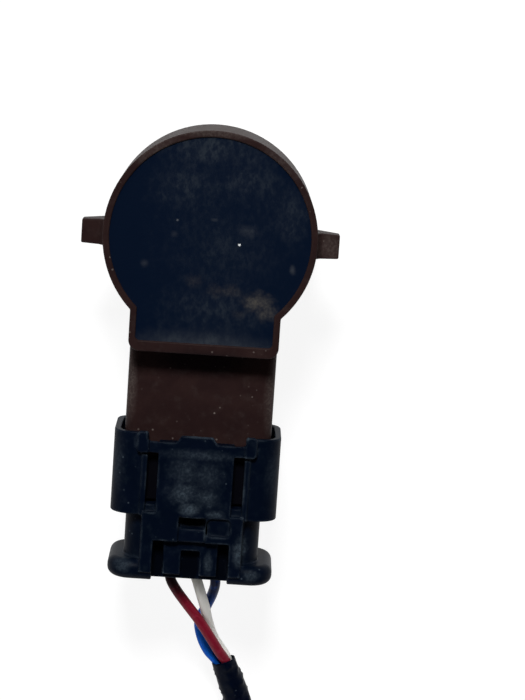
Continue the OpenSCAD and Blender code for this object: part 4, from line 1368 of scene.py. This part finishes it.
@dataclass
class SensorBody:
    """Brown moulding, the cast fill that closes its back, and the sensing cup in its silicone ring.

    Attributes:
        can_r: Inside radius of the can at the fill's top.
        tongue_half: Half the inside width of the tongue.
        tongue_reach: Inside reach of the tongue.
        tongue_r: Inside radius of the tongue's corners.
        draft: How much narrower the fill is at the can's floor.
        floor_z: Height of the can's floor.
        hole_r: Radius of the fill in the hole behind the cup.
        edge_r: Rounding of the moulding's edges.
        cup_edge_r: Rounding of the cup's and the ring's edges.
        creep: Height to which the fill creeps up the wall.
        creep_reach: Width of that creep.
        wave: Height of the waves in the fill.
        wave_len: Length of those waves.
        pitch: Distance between the points of the fill's surface.
        insets: Distances from the wall of the rows of points that carry the creep.
        row_clear: Least distance of such a point from the wall, as a share of its row's.
        grid_inset: Distance from the wall at which the even points begin.
        arc_steps: Steps of the can's arc.
        corner_steps: Steps of a tongue corner's arc.
        hole_sides: Sides of the fill in the hole.
        crease: Least angle of an edge that is shaded sharp, in degrees.
        merge_gap: Distance under which two points of the plan are one.
    """

    can_r: float = 12.0 * MM
    tongue_half: float = 8.2 * MM
    tongue_reach: float = 12.7 * MM
    tongue_r: float = 0.5 * MM
    draft: float = 0.05 * MM
    floor_z: float = 10.0 * MM
    hole_r: float = 4.5 * MM
    edge_r: float = 0.18 * MM
    cup_edge_r: float = 0.1 * MM
    creep: float = 0.05 * MM
    creep_reach: float = 0.3 * MM
    wave: float = 0.03 * MM
    wave_len: float = 4.5 * MM
    pitch: float = 0.55 * MM
    insets: tuple[float, ...] = (0.12 * MM, 0.3 * MM, 0.6 * MM)
    row_clear: float = 0.9
    grid_inset: float = 0.9 * MM
    arc_steps: int = 120
    corner_steps: int = 6
    hole_sides: int = 48
    crease: float = 50.0
    merge_gap: float = 0.0001 * MM

    def build(self, nodes: dict[str, Thing]) -> list[Thing]:
        """Make the sensor's visible pieces.

        Args:
            nodes: The solids by name.

        Returns:
            The pieces.
        """
        housing = rounded_copy(nodes["sensor_housing"], "moulded_housing", HOUSING, self.edge_r)
        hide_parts("sensor_housing")
        cup = rounded_copy(nodes["transducer_cup"], "membrane_cup", PAINT, self.cup_edge_r)
        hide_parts("transducer_cup")
        ring = rounded_copy(nodes["decoupling_ring"], "silicone_ring", RING, self.cup_edge_r)
        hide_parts("decoupling_ring")
        return [housing, self.cast_fill(), cup, ring]

    def outline(self) -> list[Vector]:
        """Give the plan of the fill.

        Returns:
            Points anticlockwise, from where the can meets the tongue on the right.
        """
        meet = math.acos(self.tongue_half / self.can_r)
        arc = math.pi + 2 * meet
        points = []
        for i in range(self.arc_steps + 1):
            turn = -meet + arc * i / self.arc_steps
            points.append(Vector((self.can_r * math.cos(turn), self.can_r * math.sin(turn))))
        corner_x, corner_y = self.tongue_half - self.tongue_r, self.tongue_r - self.tongue_reach
        for side, first in ((-1, math.pi), (1, 1.5 * math.pi)):
            for i in range(self.corner_steps + 1):
                turn = first + math.pi / 2 * i / self.corner_steps
                points.append(Vector((side * corner_x + self.tongue_r * math.cos(turn),
                                      corner_y + self.tongue_r * math.sin(turn))))
        return points

    def dense(self, points: list[Vector]) -> list[Vector]:
        """Divide the sides of a closed outline into steps no longer than the pitch.

        Args:
            points: The outline.

        Returns:
            The outline with its new points.
        """
        made = []
        for start, end in zip(points, points[1:] + points[:1]):
            count = max(1, math.ceil((end - start).length / self.pitch))
            made += [start.lerp(end, i / count) for i in range(count)]
        return made

    def inner_points(self, rim: list[Vector], wall: kdtree.KDTree) -> list[Vector]:
        """Give the points of the fill's plan inside its outline.

        Args:
            rim: The outline.
            wall: Tree that finds the outline's nearest point.

        Returns:
            Rows of points along the wall, then an even grid.
        """
        inner = []
        for inset in self.insets:
            for before, point, after in zip(rim[-1:] + rim, rim, rim[1:] + rim[:1]):
                along = (after - before).normalized()
                moved = point + inset * Vector((-along.y, along.x))
                if wall.find(moved.to_3d())[2] > self.row_clear * inset:
                    inner.append(moved)
        steps = math.ceil(2 * self.tongue_reach / self.pitch)
        for i in range(steps):
            for j in range(steps):
                point = Vector((i - steps / 2 + j % 2 / 2, j - steps / 2)) * self.pitch
                if self.holds(point) and wall.find(point.to_3d())[2] > self.grid_inset:
                    inner.append(point)
        return inner

    def holds(self, point: Vector) -> bool:
        """Tell whether a point of the plan lies inside the fill."""
        in_tongue = abs(point.x) < self.tongue_half and -self.tongue_reach < point.y < 0
        return point.length < self.can_r or in_tongue

    def cast_fill(self) -> Thing:
        """Pour the fill: a slightly wavy top that creeps up the wall, its sides, and its foot in the hole.

        Returns:
            The fill.
        """
        low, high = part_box("potting_compound")
        rim = self.dense(self.outline())
        wall = kdtree.KDTree(len(rim))
        for i, point in enumerate(rim):
            wall.insert(point.to_3d(), i)
        wall.balance()
        edges = [(i, (i + 1) % len(rim)) for i in range(len(rim))]
        points = rim + self.inner_points(rim, wall)
        plan, _, faces, *_ = geometry.delaunay_2d_cdt(points, edges, [], 1, self.merge_gap)
        shape = bmesh.new()
        top = []
        for point in plan:
            creep = self.creep * math.exp(-wall.find(point.to_3d())[2] / self.creep_reach)
            wave = self.wave * noise.noise((point / self.wave_len).to_3d())
            top.append(shape.verts.new((point.x, point.y, high.z + creep + wave)))
        for face in faces:
            shape.faces.new([top[i] for i in face])
        sides = bmesh.ops.extrude_edge_only(shape, edges=[e for e in shape.edges if e.is_boundary])
        for vert in (v for v in sides["geom"] if isinstance(v, bmesh.types.BMVert)):
            vert.co.xy *= 1 - self.draft / vert.co.xy.length
            vert.co.z = self.floor_z
        bmesh.ops.holes_fill(shape, edges=[e for e in shape.edges if e.is_boundary])
        foot = self.floor_z - low.z
        bmesh.ops.create_cone(
            shape, cap_ends=True, segments=self.hole_sides, radius1=self.hole_r, radius2=self.hole_r,
            depth=foot, matrix=Matrix.Translation((0.0, 0.0, low.z + foot / 2)))
        bmesh.ops.recalc_face_normals(shape, faces=shape.faces)
        mesh = bpy.data.meshes.new("cast_fill")
        shape.to_mesh(mesh)
        shape.free()
        mesh.shade_smooth()
        mesh.set_sharp_from_angle(angle=math.radians(self.crease))
        fill = place_piece("cast_fill", mesh, RESIN)
        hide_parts("potting_compound")
        return fill


@dataclass
class Plug:
    """Black three-way plug with its latch.

    Attributes:
        edge_r: Rounding of the moulding's edges.
    """

    edge_r: float = 0.16 * MM

    def build(self, nodes: dict[str, Thing]) -> list[Thing]:
        """Make the plug's visible moulding.

        Args:
            nodes: The solids by name.

        Returns:
            The pieces.
        """
        moulding = rounded_copy(nodes["plug_housing"], "plug_moulding", PLUG, self.edge_r)
        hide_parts("plug_housing")
        return [moulding]


class InnerPieces:
    """Solids that keep their own shape: what the can and the plug hold inside."""

    def dress(self, frame: dict[str, Any]) -> list[str]:
        """Give each solid the finish of its slot in the record.

        Args:
            frame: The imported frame.

        Returns:
            Names of the solids.
        """
        by_slot = {finish.slot: finish for finish in (
            *PLAIN_FINISHES, HOUSING, PLUG, RESIN, SLEEVE, RED_PVC, WHITE_PVC, BLUE_PVC)}
        dressed = []
        for part in frame["record"]["subparts"]:
            solid = frame["nodes"][part["node"]]
            material = by_slot[part["material_slot"]].material()
            if solid.material_slots:
                solid.material_slots[0].material = material
            else:
                solid.data.materials.append(material)
            dressed.append(solid.name)
        return dressed


def main() -> None:
    """Build the scene."""
    logging.basicConfig(level=logging.INFO, format="%(name)s: %(message)s")
    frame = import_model()
    PhotoView().build()
    pieces = Pigtail().build()
    pieces += SensorBody().build(frame["nodes"])
    pieces += Plug().build(frame["nodes"])
    Studio().build()
    for piece in pieces:
        LOG.info("made %s with %d faces", piece.name, len(piece.data.polygons))
    for name in InnerPieces().dress(frame):
        LOG.info("dressed %s", name)


if __name__ == "__main__":
    main()
